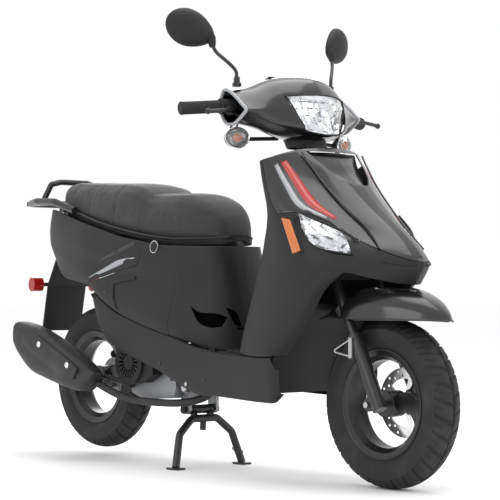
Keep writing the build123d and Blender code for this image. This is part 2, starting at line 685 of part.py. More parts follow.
def housing_spot(side, along, turn):
    """A plane on the outside of a control housing, turned about the bar from straight up."""
    axis = mirrored(grip_line, side)
    back = axis.cross(Vector(0, 0, 1)).normalized() * (1 if side < 0 else -1)
    up = back.cross(axis).normalized() * (1 if side < 0 else -1)
    if up.Z < 0:
        up = -up
    if back.X > 0:
        back = -back
    out = up * cos(radians(turn)) + back * sin(radians(turn))
    return Plane(origin=on_grip(side, along) + out * (grip_radius + 4.2), x_dir=axis, z_dir=out)


button_spots = {"starter_button": (-1, -4, 62, 6), "horn_button": (1, -4, 95, 6),
                "turn_switch": (1, -14, 55, 5)}
button_depth = 1.0
button_travel = 2.0
switch_travel = 4.0



def button_outline(size, slack=0.0, travel=0.0):
    """Face of a round push button or of a sliding switch, with room round it."""
    if size == 6:
        Circle(size + slack)
    else:
        RectangleRounded(10 + 2 * slack + 2 * travel, 7 + 2 * slack, 2)


lever_pivots = {}
lever_up = Vector(0.05, 0, 1).normalized()
with BuildPart() as control_housings:
    for name, side in sides:
        centre = on_grip(side, -12)
        rod(on_grip(side, -26), on_grip(side, 7), grip_radius + 4)
        pivot = Vector(304, side * 213, 979)
        lever_pivots[name] = pivot
        # perch with a slot for the lever
        rod(pivot + lever_up * 11, pivot - lever_up * 11, 11)
        rod(centre, pivot - (pivot - centre) * 0.25, 10)
        rod(on_grip(side, -27), on_grip(side, 8), bar_radius, mode=Mode.SUBTRACT)
        rod(pivot + lever_up * 5, pivot - lever_up * 5, 17, mode=Mode.SUBTRACT)
        rod(pivot + lever_up * 12, pivot - lever_up * 12, 4 + fit, mode=Mode.SUBTRACT)
    for pivot in lever_pivots.values():
        rod(pivot + lever_up * 13, pivot - lever_up * 13, 4)
    # pockets for the buttons
    for side, along, turn, size in button_spots.values():
        spot = housing_spot(side, along, turn)
        with BuildSketch(spot.offset(-button_depth - button_travel - 0.6)) as pocket:
            button_outline(size, seam, switch_travel)
        extrude(pocket.sketch, amount=8, mode=Mode.SUBTRACT)
save(control_housings.part, "control_housings")

for name, (side, along, turn, size) in button_spots.items():
    with BuildPart() as button:
        with BuildSketch(housing_spot(side, along, turn).offset(-button_depth)) as cap:
            button_outline(size)
        extrude(cap.sketch, amount=5)
    save(button.part, name)

for name, side in sides:
    pivot = lever_pivots[name]
    with BuildPart() as lever:
        with BuildSketch(Plane(origin=pivot - lever_up * 4.5, x_dir=(1, 0, 0), z_dir=lever_up)) as blade:
            with BuildLine():
                Polyline((-10, 9 * -side), (8, 10 * -side), (22, side * 18), (30, side * 60), (30, side * 97),
                         (20, side * 97), (19, side * 60), (8, side * 18), close=True)
            make_face()
            Circle(9)
        extrude(blade.sketch, amount=9)
        with Locations(pivot + Vector(25, side * 99, 0)):
            Sphere(8)
        rod(pivot + lever_up * 12, pivot - lever_up * 12, 4 + fit, mode=Mode.SUBTRACT)
    save(lever.part, f"brake_lever_{name}")


# ---- handlebar cowl, lamp and instruments ---------------------------------------------------
cowl_side = [(476, 926), (446, 1014), (396, 1071), (352, 1078), (304, 1082), (262, 1064), (240, 1010),
             (262, 944), (300, 922), (373, 902)]
cowl_plan = [(478, 30), (462, 62), (420, 92), (352, 150), (318, 201), (250, 201), (240, 120)]
cowl_front = [(60, 902), (130, 930), (201, 952), (201, 1036), (150, 1050), (60, 1078), (30, 1084)]
cowl_skin = shell_of(cowl_side, cowl_plan, cowl_front)
lamp_window = [(500, 932), (500, 1008), (380, 1008), (380, 932)]
with BuildPart() as handlebar_cowl:
    add(cowl_skin)
    side_plate(lamp_window, -76, 76, mode=Mode.SUBTRACT)
    # end mouths, the neck round the stem, and the window for the instruments
    box((252, -230, 962), (330, 230, 1022), mode=Mode.SUBTRACT)
    box((268, -42, 880), (395, 42, 945), mode=Mode.SUBTRACT)
    box((200, -78, 1012), (306, 78, 1120), mode=Mode.SUBTRACT)
save(handlebar_cowl.part, "handlebar_cowl")

with BuildPart() as headlight:
    add(outline_block(cowl_side, cowl_plan, cowl_front))
    add(outline_block(cowl_side, cowl_plan, cowl_front, skin + 1), mode=Mode.SUBTRACT)
    side_plate([(500, 932 + seam), (500, 1008 - seam), (425, 1008 - seam), (425, 932 + seam)],
               -76 + seam, 76 - seam, mode=Mode.INTERSECT)
    # bowl and bulb socket behind the lens
    side_plate([(452, 936), (430, 1002), (392, 1002), (380, 972), (398, 936)], -66, 66)
    side_plate([(470, 940), (432, 998), (400, 996), (392, 972), (404, 942)], -60, 60, mode=Mode.SUBTRACT)
    # socket and bulb, and the stay to the handlebar
    rod((396, 0, 970), (425, 0, 975), 9)
    rod((bar_mid.X + 24 + seam, 0, bar_mid.Z), (392, 0, bar_mid.Z), 12)
save(headlight.part, "headlight")

with BuildPart() as instruments:
    side_plate([(306 - seam, 1080), (262, 1062), (242, 1014), (262, 1014), (306 - seam, 1040)],
               -78 + seam, 78 - seam)
    side_plate([(300, 1090), (268, 1070), (262, 1052), (296, 1064)], -62, 62, mode=Mode.SUBTRACT)
    side_plate([(298, 1073), (270, 1061), (267.5, 1054.5), (295, 1064.3)], -62 + seam, 62 - seam)
save(instruments.part, "instruments")

signal_y = 194.0
with BuildPart() as front_turn_lamps:
    for name, side in sides:
        rod((300, side * 46, 915.7), (304, side * (signal_y - 26), 908), 6)
        with BuildSketch(Plane(origin=(278, side * signal_y, 908), x_dir=(0, 1, 0), z_dir=(1, 0, 0))) as lamp:
            Ellipse(31, 24)
        extrude(lamp.sketch, amount=34)
        with BuildSketch(Plane(origin=(312 + seam, side * signal_y, 908), x_dir=(0, 1, 0),
                               z_dir=(1, 0, 0))) as lamp:
            Ellipse(27, 20)
        extrude(lamp.sketch, amount=14)
save(front_turn_lamps.part, "front_turn_lamps")

mirror_stem_radius = 5.0
for name, side in sides:
    head = Plane(origin=(216 - seam, side * mirror_y, mirror_z), z_dir=(-1, 0, 0),
                 x_dir=(0, cos(radians(side * 14)) * 1.0, sin(radians(14 * side)) * 1.0))
    with BuildPart() as mirror:
        with BuildSketch(head) as outline:
            Ellipse(mirror_half_width, mirror_half_height)
        extrude(outline.sketch, amount=26)
        with BuildSketch(head.offset(20)) as recess:
            Ellipse(mirror_half_width - 5, mirror_half_height - 5)
        extrude(recess.sketch, amount=8, mode=Mode.SUBTRACT)
        # the glass is its own piece in the recess
        with BuildSketch(head.offset(20 + seam)) as glass:
            Ellipse(mirror_half_width - 5 - seam, mirror_half_height - 5 - seam)
        extrude(glass.sketch, amount=3)
        # stem and its nut
        bent_tube([(283, side * 172, 1050), (283, side * 172, 1082), (236, side * 236, 1160),
                   (220, side * mirror_y, 1190)], mirror_stem_radius, 14)
        rod((283, side * 172, 1048), (283, side * 172, 1062), 12)
    save(mirror.part, f"mirror_{name}")

# ---- power unit -----------------------------------------------------------------------------
crank = (-190.0, 256.0)
fan_centre = (-257.0, 296.0)
case_right_y, case_left_y = -85.0, 55.0
hanger_plate_inner = 66.0
rail_relief = 9.0              # depth of the relief beside the right rail
shock_bolt_radius = 6.0
lug_y = 50.0
with BuildPart() as engine_case:
    side_plate([(-300, 205), (-306, 300), (-268, 338), (-120, 326), (-92, 292), (-88, 228),
                (-100, 196), (-240, 188)], case_right_y, case_left_y)
    fillet(engine_case.edges().filter_by(Axis.Y), 12)
    # hanger lug
    side_disc(*hanger, -hanger_plate_inner + seam, hanger_plate_inner - seam, 16)
    box((-95, -hanger_plate_inner + seam, hanger[1] - 14), (hanger[0], case_left_y, hanger[1] + 14))
    # ears for the stand
    for name, side in sides:
        side_plate([(-104, 200), (-66, 216), (-66, 160), (-78, 150), (-94, 150), (-104, 160)],
                   side * lug_y - 5, side * lug_y + 5)
        side_disc(*stand_pivot, side * lug_y - 6, side * lug_y + 6, stand_pin_radius,
                  mode=Mode.SUBTRACT)
    side_disc(*hanger, -80, 80, hanger_bolt_radius + fit, mode=Mode.SUBTRACT)
    # relief for the right rail, which the corner nears as the unit swings up
    box((-116, case_right_y - 1, 246), (-80, case_right_y + rail_relief, 340), mode=Mode.SUBTRACT)
    # finned cylinder and its head, lying forward
    for step in range(9):
        x = -88 + 10 * step
        box((x, -44, 270 + step), (x + 5, 44, 352 + step))
    box((-92, -30, 280), (10, 30, 344))
    box((0, -42, 276), (34, 42, 356))
    # belt case on the left, out to the rear axle
    with BuildSketch(Plane.XZ.offset(-belt_case_y)) as belt_case:
        with BuildLine():
            Polyline((crank[0] + 20, crank[1] + 58), (crank[0] + 56, crank[1] + 18),
                     (crank[0] + 52, crank[1] - 34), (crank[0], crank[1] - 60),
                     (rear_axle_x, rear_axle_z - 56), (rear_axle_x - 42, rear_axle_z - 38),
                     (rear_axle_x - 56, rear_axle_z), (rear_axle_x - 40, rear_axle_z + 40),
                     (rear_axle_x, rear_axle_z + 54), (-330, 296), close=True)
        make_face()
        fillet(belt_case.vertices(), 14)
    extrude(belt_case.sketch, amount=belt_case_y - case_left_y)
    # drum brake plate and the axle's bearing
    side_disc(rear_axle_x, rear_axle_z, hub_half_width + 6, case_left_y + 1, 58)
    side_disc(rear_axle_x, rear_axle_z, hub_half_width, belt_case_y - 10, rear_axle_radius + fit,
              mode=Mode.SUBTRACT)
    # ear for the foot of the shock absorber
    side_plate([(-570, 280), (-584, 318), (-600, 322), (-614, 316), (-600, 268)],
               shock_y - 6, shock_y + 6)
    side_disc(*shock_bottom, shock_y - 7, shock_y + 7, shock_bolt_radius, mode=Mode.SUBTRACT)
    side_disc(*crank, case_right_y - 1, case_right_y + 30, 9 + fit, mode=Mode.SUBTRACT)
    side_disc(*fan_centre, case_right_y - 1, case_right_y + 30, 9 + fit, mode=Mode.SUBTRACT)
save(engine_case.part, "engine_case")

with BuildPart() as engine_fittings:
    side_disc(*shock_bottom, shock_y - 22, shock_y + 22, shock_bolt_radius)
    side_disc(*shock_bottom, shock_y + 19, shock_y + 25, 10)
    side_disc(*shock_bottom, shock_y - 25, shock_y - 19, 10)
    # filter box over the belt case, with the breather hose end
    box((-470, case_left_y + 8, 312), (-290, 122, 380))
    fillet(engine_fittings.edges().filter_by(Axis.Y).group_by(Axis.Z)[-1], 14)
    box((-380, 70, 296.2), (-340, 100, 312 + 1))
    # pin of the centre stand
    side_disc(*stand_pivot, -62, 62, stand_pin_radius)
    side_disc(*stand_pivot, -64, -58, 11)
    side_disc(*stand_pivot, 58, 64, 11)
save(engine_fittings.part, "filter_box_and_pins")

fan_outer_y = -130.0
fan_cover_radius = 64.0
with BuildPart() as fan_cover:
    side_disc(*fan_centre, fan_outer_y, case_right_y - seam, fan_cover_radius)
    side_plate([(fan_centre[0], 352), (-190, 340), (-150, 318), (-150, 262), (-200, 238),
                (fan_centre[0], 234)], fan_outer_y + 8, case_right_y - seam)
    side_disc(*fan_centre, fan_outer_y + 5, case_right_y, fan_cover_radius - 4, mode=Mode.SUBTRACT)
    # radial grille
    with BuildSketch(Plane.XZ.offset(-fan_outer_y - 6)) as grille:
        with Locations(fan_centre):
            with PolarLocations(34, 20):
                SlotCenterToCenter(20, 5)
    extrude(grille.sketch, amount=20, mode=Mode.SUBTRACT)
save(fan_cover.part, "fan_cover")

with BuildPart() as cooling_fan:
    side_disc(*fan_centre, -118, case_right_y + 20, 9)
    side_disc(*fan_centre, -96, -92, 52)
    with BuildSketch(Plane.XZ.offset(96)) as blades:
        with Locations(fan_centre):
            with PolarLocations(38, 12):
                with Locations(Location((0, 0), 35)):
                    Rectangle(24, 2.4)
    extrude(blades.sketch, amount=18)
save(cooling_fan.part, "cooling_fan")

muffler_near_y, muffler_far_y = -227.0, -143.0
muffler_side = [(-334, 262), (-380, 206), (-508, 228), (-641, 259), (-733, 336), (-737, 405),
                (-560, 336)]
with BuildPart() as exhaust:
    side_plate(muffler_side, muffler_near_y, muffler_far_y)
    fillet(exhaust.edges().filter_by(Plane.XZ), 26)
    # heat shield with two screws, on the outer face
    side_plate([(-372, 262), (-396, 232), (-516, 256), (-600, 300), (-560, 318)],
               muffler_near_y - 5, muffler_near_y - seam)
    for x, z in ((-418, 262), (-560, 296)):
        side_disc(x, z, muffler_near_y - 9, muffler_near_y - 5, 8)
    # header from the cylinder head, and the arm to the crankcase
    bent_tube([(14, -20, 275), (14, -22, 225), (0, -62, 190), (-70, -108, 184), (-250, -124, 186),
               (-372, -172, 240)], 11, 24)
    side_disc(-296, 232, -104, case_right_y - seam, 9)
    rod((-296, -98, 232), (-420, muffler_far_y - 6, 262), 8)
save(exhaust.part, "exhaust")

with BuildPart() as kick_starter:
    kick = (-330.0, 262.0)
    side_disc(*kick, belt_case_y + seam, belt_case_y + 16, 14)
    side_plate([(-330, 250), (-330, 274), (-470, 304), (-474, 292)], belt_case_y + 6, belt_case_y + 14)
    side_disc(-472, 298, belt_case_y + 6, belt_case_y + 52, 8)
save(kick_starter.part, "kick_starter")

# ---- shock absorber -------------------------------------------------------------------------
top = Vector(shock_top[0], shock_y, shock_top[1])
bottom = Vector(shock_bottom[0], shock_y, shock_bottom[1])
shock_run = (bottom - top).normalized()
shock_length = (bottom - top).length
shock_clearance = 2.6          # free play at the lower eye
with BuildPart() as shock_body:
    side_disc(*shock_top, shock_y - 12, shock_y + 12, 13)
    rod(top + shock_run * 16, top + shock_run * 190, 14)
    rod(top, top + shock_run * 20, 8)
    rod(top + shock_run * 22, top + shock_run * 28, 29)
    side_disc(*shock_top, shock_y - 13, shock_y + 13, 5 + fit, mode=Mode.SUBTRACT)
    rod(top + shock_run * 60, top + shock_run * 191, 6 + fit, mode=Mode.SUBTRACT)
save(shock_body.part, "shock_body")

with BuildPart() as shock_rod:
    rod(top + shock_run * 150, bottom - shock_run * 30, 6)
    rod(bottom - shock_run * 36, bottom - shock_run * 30, 29)
    for name, side in sides:
        side_disc(*shock_bottom, shock_y + side * 13 - 4, shock_y + side * 13 + 4, 15)
        rod(bottom - shock_run * 32 + Vector(0, side * 13, 0), bottom + Vector(0, side * 13, 0), 4)
    side_disc(*shock_bottom, shock_y - 20, shock_y + 20, shock_bolt_radius + shock_clearance,
              mode=Mode.SUBTRACT)
save(shock_rod.part, "shock_rod")

spring_turns = 9
spring_wire = 3.6
spring_length = shock_length - 36 - 28 - 2 * spring_wire - 2 * seam
with BuildPart() as shock_spring:
    with BuildLine():
        coil = Helix(spring_length / spring_turns, spring_length, 23,
                     center=top + shock_run * (28 + spring_wire + seam), direction=shock_run)
    with BuildSketch(Plane(origin=coil @ 0, z_dir=coil % 0)) as wire_section:
        Circle(spring_wire)
    sweep(wire_section.sketch, path=coil)
save(shock_spring.part, "shock_spring")

# ---- centre stand ---------------------------------------------------------------------------
leg_radius = 11.0
with BuildPart() as centre_stand:
    side_disc(*stand_pivot, -lug_y + 5 + seam, lug_y - 5 - seam, 13)
    bent_tube([(-42, -stand_foot_y, 6), (-58, -96, 96), (-66, -46, 138), (-66, 46, 138),
               (-58, 96, 96), (-42, stand_foot_y, 6)], leg_radius, 26)
    for y in (-30, 30):
        side_plate([(-96, 160), (-74, 166), (-56, 136), (-74, 130)], y - 4, y + 4)
    for name, side in sides:
        y = side * stand_foot_y
        box((-64, y - 17, 0), (-20, y + 17, 6))
    # tang on the left leg for the rider's foot
    bent_tube([(-48, stand_foot_y + 4, 34), (-96, stand_foot_y + 22, 34), (-128, stand_foot_y + 40, 38)],
              5, 14)
    # rubber stop
    rod((-70, 0, 132), (-72, 0, 104), 9)
    side_disc(*stand_pivot, -60, 60, stand_pin_radius + fit, mode=Mode.SUBTRACT)
save(centre_stand.part, "centre_stand")

# ---- front mudguard -------------------------------------------------------------------------
guard_radius = 302.0
guard_side = [(front_axle_x + guard_radius * cos(radians(a)), front_axle_z + guard_radius * sin(radians(a)))
              for a in range(52, 131, 8)]
guard_side = [(897, 428)] + guard_side + [(478, 430)]
guard_plan = [(898, 6), (880, 34), (840, 66), (780, 88), (700, 100), (600, 104), (560, 64), (468, 62)]
with BuildPart() as front_mudguard:
    add(outline_block(guard_side, guard_plan))
    add(outline_block(guard_side, guard_plan, inset=skin), mode=Mode.SUBTRACT)
    box((400, -90, 400), (900, 90, 440), mode=Mode.SUBTRACT)
    # tabs that reach the crown's underside
    for name, side in sides:
        with BuildSketch(Plane(origin=on_axis(304, side * 44, 12), x_dir=(0, 1, 0), z_dir=steer_up)) as tab:
            Rectangle(14, 20)
        extrude(tab.sketch, amount=crown_height - 16 - 304 - seam)
        # room for the fork leg
        rod(on_leg(200, side), on_leg(400, side), slider_radius + 4, mode=Mode.SUBTRACT)
save(front_mudguard.part, "front_mudguard")

# ---- fasteners ------------------------------------------------------------------------------
with BuildPart() as body_screws:
    for name, side in sides:
        for x, z in ((300, 244), (60, 246), (200, 300)):
            side_disc(x, z, *sorted((side * (165 + seam), side * 168.5)), 5.5)
    # bag hook on the rider's side of the leg shield
    side_plate([(362.8, 560), (374.1, 600), (368, 600), (357, 560)], -14, 14)
    bent_tube([(360, 0, 566), (332, 0, 552), (324, 0, 588)], 5, 10)
save(body_screws.part, "bag_hook_and_screws")

with BuildPart() as ignition_lock:
    rod(*lock_line, lock_radius)
save(ignition_lock.part, "ignition_lock")
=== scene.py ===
# %% [markdown]
# # A moped scooter, dressed around its mechanical frame
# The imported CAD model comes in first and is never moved: axles, hinges, tubes and brackets are its job.
# This lesson adds what a maker of covers, tyres, lamps and upholstery would add. The scene is in metres,
# +X is forward, +Y is the rider's left, and the ground is z = 0.

# %% Load the frame
import math

import bmesh
import bpy
from mathutils import Matrix, Vector


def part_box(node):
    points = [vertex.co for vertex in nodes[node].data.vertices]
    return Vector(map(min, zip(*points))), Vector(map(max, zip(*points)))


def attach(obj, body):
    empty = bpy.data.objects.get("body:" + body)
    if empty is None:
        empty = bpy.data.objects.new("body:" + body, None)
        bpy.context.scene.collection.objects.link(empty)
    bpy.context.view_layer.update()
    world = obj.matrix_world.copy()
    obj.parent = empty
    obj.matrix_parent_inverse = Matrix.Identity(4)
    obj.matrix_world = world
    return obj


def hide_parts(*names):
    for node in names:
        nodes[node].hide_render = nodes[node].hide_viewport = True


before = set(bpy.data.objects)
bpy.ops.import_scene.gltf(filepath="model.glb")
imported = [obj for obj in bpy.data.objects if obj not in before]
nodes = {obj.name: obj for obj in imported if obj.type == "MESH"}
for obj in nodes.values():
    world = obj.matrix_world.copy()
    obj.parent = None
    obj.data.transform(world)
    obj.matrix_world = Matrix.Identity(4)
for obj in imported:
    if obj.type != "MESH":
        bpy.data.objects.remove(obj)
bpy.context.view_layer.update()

# %% [markdown]
# ## Camera, floor and light
# A long lens from low on the rider's right gives the calm, flat perspective of a sales catalogue. The
# floor and the air round it are both white and meet without an edge, as in a bright studio.
# Gloss black shows only what it reflects, so the lamps are large soft panels whose edges draw the forms.

# %% Camera, floor and soft boxes
SIDES = (("right", -1), ("left", 1))
LENS, SENSOR = 124.3, 36.0
CAMERA_PLACE, CAMERA_TARGET = (3.794, -3.1335, 0.4968), (0.13647, 0, 0.61699)
SCOOTER_MIDDLE = (0, 0, 0.6)
AIR_BRIGHTNESS = 1.0


def aim(thing, place, target):
    """Point an object's own -Z at a target."""
    thing.location = place
    thing.rotation_euler = (Vector(target) - Vector(place)).to_track_quat("-Z", "Y").to_euler()
    bpy.context.scene.collection.objects.link(thing)
    return thing


lens = bpy.data.cameras.new("studio_camera")
lens.lens, lens.sensor_width = LENS, SENSOR
camera = aim(bpy.data.objects.new("studio_camera", lens), CAMERA_PLACE, CAMERA_TARGET)
bpy.context.scene.camera = camera


def soft_box(name, place, width, height, watts):
    """A large rectangular lamp aimed at the scooter, softened by its size."""
    light = bpy.data.lights.new(name, "AREA")
    light.shape, light.size, light.size_y, light.energy = "RECTANGLE", width, height, watts
    return aim(bpy.data.objects.new(name, light), place, SCOOTER_MIDDLE)


soft_box("overhead_box", (0.2, 0.3, 3.6), 3.4, 2.0, 48)
soft_box("front_box", (3.6, 1.6, 2.1), 1.5, 2.2, 30)
soft_box("side_box", (0.6, -4.2, 2.2), 3.4, 1.4, 34)
soft_box("back_box", (-3.4, 2.6, 2.2), 2.0, 1.8, 40)

world = bpy.data.worlds.new("studio_air")
bpy.context.scene.world = world
world.use_nodes = True
world.node_tree.nodes["Background"].inputs["Color"].default_value = (1.0, 1.0, 1.0, 1)
world.node_tree.nodes["Background"].inputs["Strength"].default_value = AIR_BRIGHTNESS
bpy.context.scene.view_settings.view_transform = "Standard"

# %% [markdown]
# ## Shader maths that reads as maths
# A finish is a small calculation on textures: grain times depth, plus a little wear. `Value` wraps one
# socket, so such a calculation is written as an expression and adds its own Math nodes. `Finish` holds a
# material and makes every other node through one method.

# %% Value and Finish
class Value:
    """One output of a shader node. Arithmetic on it adds a Math node."""

    def __init__(self, finish, socket):
        self.finish, self.socket = finish, socket

    def maths(self, operation, *terms):
        return self.finish.node("ShaderNodeMath", {"operation": operation}, dict(enumerate(terms)))

    def __add__(self, other):
        return self.maths("ADD", self, other)

    def __mul__(self, other):
        return self.maths("MULTIPLY", self, other)

    __radd__ = __add__
    __rmul__ = __mul__

    def out(self, which):
        """Another output of the same node, by its name, or by its number where several share one name."""
        return Value(self.finish, self.socket.node.outputs[which])


# The sockets of a Mix node share their names, so the colour ones are known by number.
MIX_FACTOR, MIX_FIRST, MIX_SECOND, MIX_RESULT = 0, 6, 7, 2


class Finish:
    """A material, its main shader and the nodes that feed it."""

    def __init__(self, name, color, roughness, **uniform):
        self.material = bpy.data.materials.new(name)
        self.material.use_nodes = True
        self.tree = self.material.node_tree
        self.shader = self.tree.nodes["Principled BSDF"]
        self.shader.inputs["Base Color"].default_value = (*color, 1)
        self.shader.inputs["Roughness"].default_value = roughness
        for socket, value in uniform.items():
            self.shader.inputs[socket.replace("_", " ")].default_value = value
        self.place = self.node("ShaderNodeTexCoord", {}, {}).out("Object")

    def node(self, kind, settings, values):
        """Any node: its settings first, then a value or a link for each socket named."""
        made = self.tree.nodes.new(kind)
        for name, setting in settings.items():
            setattr(made, name, setting)
        for name, value in values.items():
            if isinstance(value, Value):
                self.tree.links.new(value.socket, made.inputs[name])
            else:
                made.inputs[name].default_value = value
        return Value(self, made.outputs[0])

    def noise(self, scale, detail=2.0):
        """Cloudy variation from 0 to 1, with so many lumps to the metre."""
        return self.node("ShaderNodeTexNoise", {}, {"Vector": self.place, "Scale": scale, "Detail": detail})

    def cells(self, scale, feature="F1"):
        """Distance to the nearest of many scattered points, for grain and pebble."""
        return self.node("ShaderNodeTexVoronoi", {"feature": feature}, {"Vector": self.place, "Scale": scale})

    def ramp(self, value, low, high):
        """0 below low, 1 above high."""
        return self.node("ShaderNodeMapRange", {"clamp": True},
                         {"Value": value, "From Min": low, "From Max": high})

    def tint(self, amount, first, second):
        """A colour between two, for Base Color."""
        colours = {MIX_FACTOR: amount, MIX_FIRST: (*first, 1), MIX_SECOND: (*second, 1)}
        return self.node("ShaderNodeMix", {"data_type": "RGBA"}, colours).out(MIX_RESULT)

    def feed(self, socket, value):
        self.tree.links.new(value.socket, self.shader.inputs[socket])
        return self

    def bump(self, height, strength, distance):
        values = {"Strength": strength, "Distance": distance, "Height": height}
        return self.feed("Normal", self.node("ShaderNodeBump", {}, values))


print("shader tools: Value with + and *, Finish with its textures")

# %% [markdown]
# ## Finishes
# Almost everything here is black, so the blacks have to differ. The big covers have a fine moulded grain
# that scatters light into soft charcoal. The apron, mudguard and cowl are lacquered, with a coat over
# near-black and a faint ripple. Steel paint, rubber, vinyl and cast alloy each get their own grain at its
# real scale, and roughness that wanders a little, as handled surfaces do.

# %% Plastics and paints
def grained_plastic(name, color, roughness, grain=1400.0, depth=0.00012):
    finish = Finish(name, color, roughness, Specular_IOR_Level=0.3)
    wander = finish.noise(7.0, 4.0)
    finish.feed("Roughness", wander * 0.14 + (roughness - 0.07))
    lighter = tuple(c * 1.35 for c in color)
    finish.feed("Base Color", finish.tint(finish.noise(420.0), color, lighter))
    return finish.bump(finish.cells(grain), 0.55, depth).material


def lacquer(name, color, roughness, ripple=0.25):
    finish = Finish(name, color, roughness, Coat_Weight=0.7, Coat_Roughness=0.12, Specular_IOR_Level=0.4)
    finish.feed("Roughness", finish.noise(22.0, 3.0) * 0.12 + roughness)
    return finish.bump(finish.noise(55.0), ripple, 0.00012).material


def painted_metal(name, color, roughness, grain=600.0, metallic=0.0):
    finish = Finish(name, color, roughness, Metallic=metallic)
    finish.feed("Roughness", finish.noise(40.0, 4.0) * 0.2 + (roughness - 0.1))
    return finish.bump(finish.noise(grain), 0.35, 0.0002).material


matte_cover = grained_plastic("matte_cover_plastic", (0.012, 0.012, 0.0128), 0.5)
plain_trim = grained_plastic("plain_trim_plastic", (0.011, 0.011, 0.012), 0.56, 900.0)
floor_mat_finish = grained_plastic("floor_mat_rubber", (0.014, 0.014, 0.015), 0.66, 700.0, 0.0003)
gloss_cover = lacquer("gloss_black_lacquer", (0.004, 0.004, 0.0045), 0.26)
accent_silver = lacquer("silver_accent", (0.32, 0.33, 0.35), 0.3)
stripe_red = lacquer("red_stripe", (0.42, 0.035, 0.03), 0.25)
frame_paint = painted_metal("frame_paint", (0.012, 0.012, 0.013), 0.36)
fork_paint = painted_metal("fork_paint", (0.018, 0.018, 0.02), 0.34)
wheel_paint = painted_metal("wheel_paint", (0.011, 0.011, 0.0125), 0.3, 300.0)
print("painted finishes made:", len(bpy.data.materials))


# %% Metals
def bare_metal(name, color, roughness, grain, depth):
    finish = Finish(name, color, roughness, Metallic=1.0)
    finish.feed("Roughness", finish.noise(90.0, 5.0) * 0.25 + (roughness - 0.1))
    lighter = tuple(min(1, c * 1.25) for c in color)
    finish.feed("Base Color", finish.tint(finish.noise(130.0, 5.0), color, lighter))
    return finish.bump(finish.noise(grain, 4.0), 0.4, depth).material


polished = bare_metal("polished_steel", (0.62, 0.62, 0.63), 0.14, 300.0, 0.00003)
zinc = bare_metal("zinc_plate", (0.42, 0.42, 0.43), 0.34, 700.0, 0.0001)
cast_alloy = bare_metal("cast_alloy", (0.27, 0.275, 0.285), 0.5, 420.0, 0.0007)
spring_steel = bare_metal("spring_steel", (0.09, 0.09, 0.095), 0.35, 500.0, 0.0001)
mirror_silver = Finish("mirror_silver", (0.82, 0.84, 0.86), 0.02, Metallic=1.0).material


def heat_paint():
    """Silencer paint: dead matt and a little chalky, with paler, browner patches."""
    finish = Finish("heat_paint", (0.016, 0.016, 0.017), 0.6)
    patches = finish.ramp(finish.noise(9.0, 5.0), 0.45, 0.75)
    finish.feed("Base Color", finish.tint(patches, (0.013, 0.013, 0.0135), (0.03, 0.028, 0.027)))
    finish.feed("Roughness", finish.noise(30.0, 4.0) * 0.24 + 0.42)
    return finish.bump(finish.noise(900.0), 0.5, 0.0002).material


exhaust_paint = heat_paint()
print("finishes with metals:", len(bpy.data.materials))


# %% Rubber, vinyl and lenses
def rubber(name, color, dust=0.02):
    finish = Finish(name, color, 0.7, Specular_IOR_Level=0.35)
    dusty = finish.ramp(finish.noise(14.0, 6.0), 0.5, 0.8)
    finish.feed("Base Color", finish.tint(dusty, color, tuple(c + dust for c in color)))
    finish.feed("Roughness", finish.noise(26.0, 4.0) * 0.2 + 0.55)
    return finish.bump(finish.noise(1100.0), 0.5, 0.00025).material


def vinyl():
    """Seat cover: pebbled leather grain with fine creases between the pebbles, the creases painted darker as
    painted shade.
    """
    finish = Finish("seat_vinyl", (0.014, 0.014, 0.0148), 0.6, Sheen_Weight=0.12, Sheen_Roughness=0.5)
    pebbles = finish.cells(620.0, "DISTANCE_TO_EDGE")
    raised = finish.ramp(pebbles, 0.0, 0.25)
    # The grain is real, but the colour is made darker in the creases than on the pebble tops: painted shade
    # in the creases.
    finish.feed("Base Color", finish.tint(raised, (0.007, 0.007, 0.0075), (0.0165, 0.0165, 0.0175)))
    finish.feed("Roughness", finish.noise(18.0, 4.0) * 0.18 + 0.5)
    return finish.bump(raised + finish.noise(60.0, 3.0) * 0.6, 0.6, 0.00035).material


def lens_finish(name, color, clear, roughness=0.04):
    """Moulded lens: a tint that light passes through, with a faint wave in its surface."""
    finish = Finish(name, color, roughness, Transmission_Weight=clear, IOR=1.47, Coat_Weight=0.6)
    return finish.bump(finish.noise(30.0), 0.15, 0.0003).material


tyre_rubber = rubber("tyre_rubber", (0.0145, 0.0145, 0.015))
grip_rubber = rubber("grip_rubber", (0.011, 0.011, 0.0115), 0.006)
seat_vinyl = vinyl()
clear_lens = lens_finish("clear_lens", (0.97, 0.98, 0.99), 0.96)
amber_lens = lens_finish("amber_lens", (0.72, 0.19, 0.03), 0.25, 0.16)
red_lens = lens_finish("red_lens", (0.42, 0.012, 0.01), 0.25, 0.1)
reflector_chrome = Finish("reflector_chrome", (0.78, 0.79, 0.81), 0.09, Metallic=1.0).material
print("metals, rubbers and lenses made:", len(bpy.data.materials))

# %% Give the CAD nodes their finishes
finish_of_slot = {
    "black_gloss_panel": gloss_cover, "dark_matte_panel": matte_cover, "black_trim": plain_trim,
    "black_frame": frame_paint, "exhaust_black": exhaust_paint, "fork_black": fork_paint,
    "polished_steel": polished, "zinc_steel": zinc, "engine_alloy": cast_alloy,
    "wheel_black": wheel_paint, "tyre_rubber": tyre_rubber, "grip_rubber": grip_rubber,
    "seat_vinyl": seat_vinyl, "clear_lens": clear_lens, "amber_lens": amber_lens,
    "red_lens": red_lens, "mirror_glass": mirror_silver, "spring_steel": spring_steel,
}
for node in nodes.values():
    for place in node.material_slots:
        if place.material:
            known = place.material.name.split(".")[0]
            place.material = finish_of_slot.get(known, frame_paint)
print("finishes:", len(finish_of_slot))


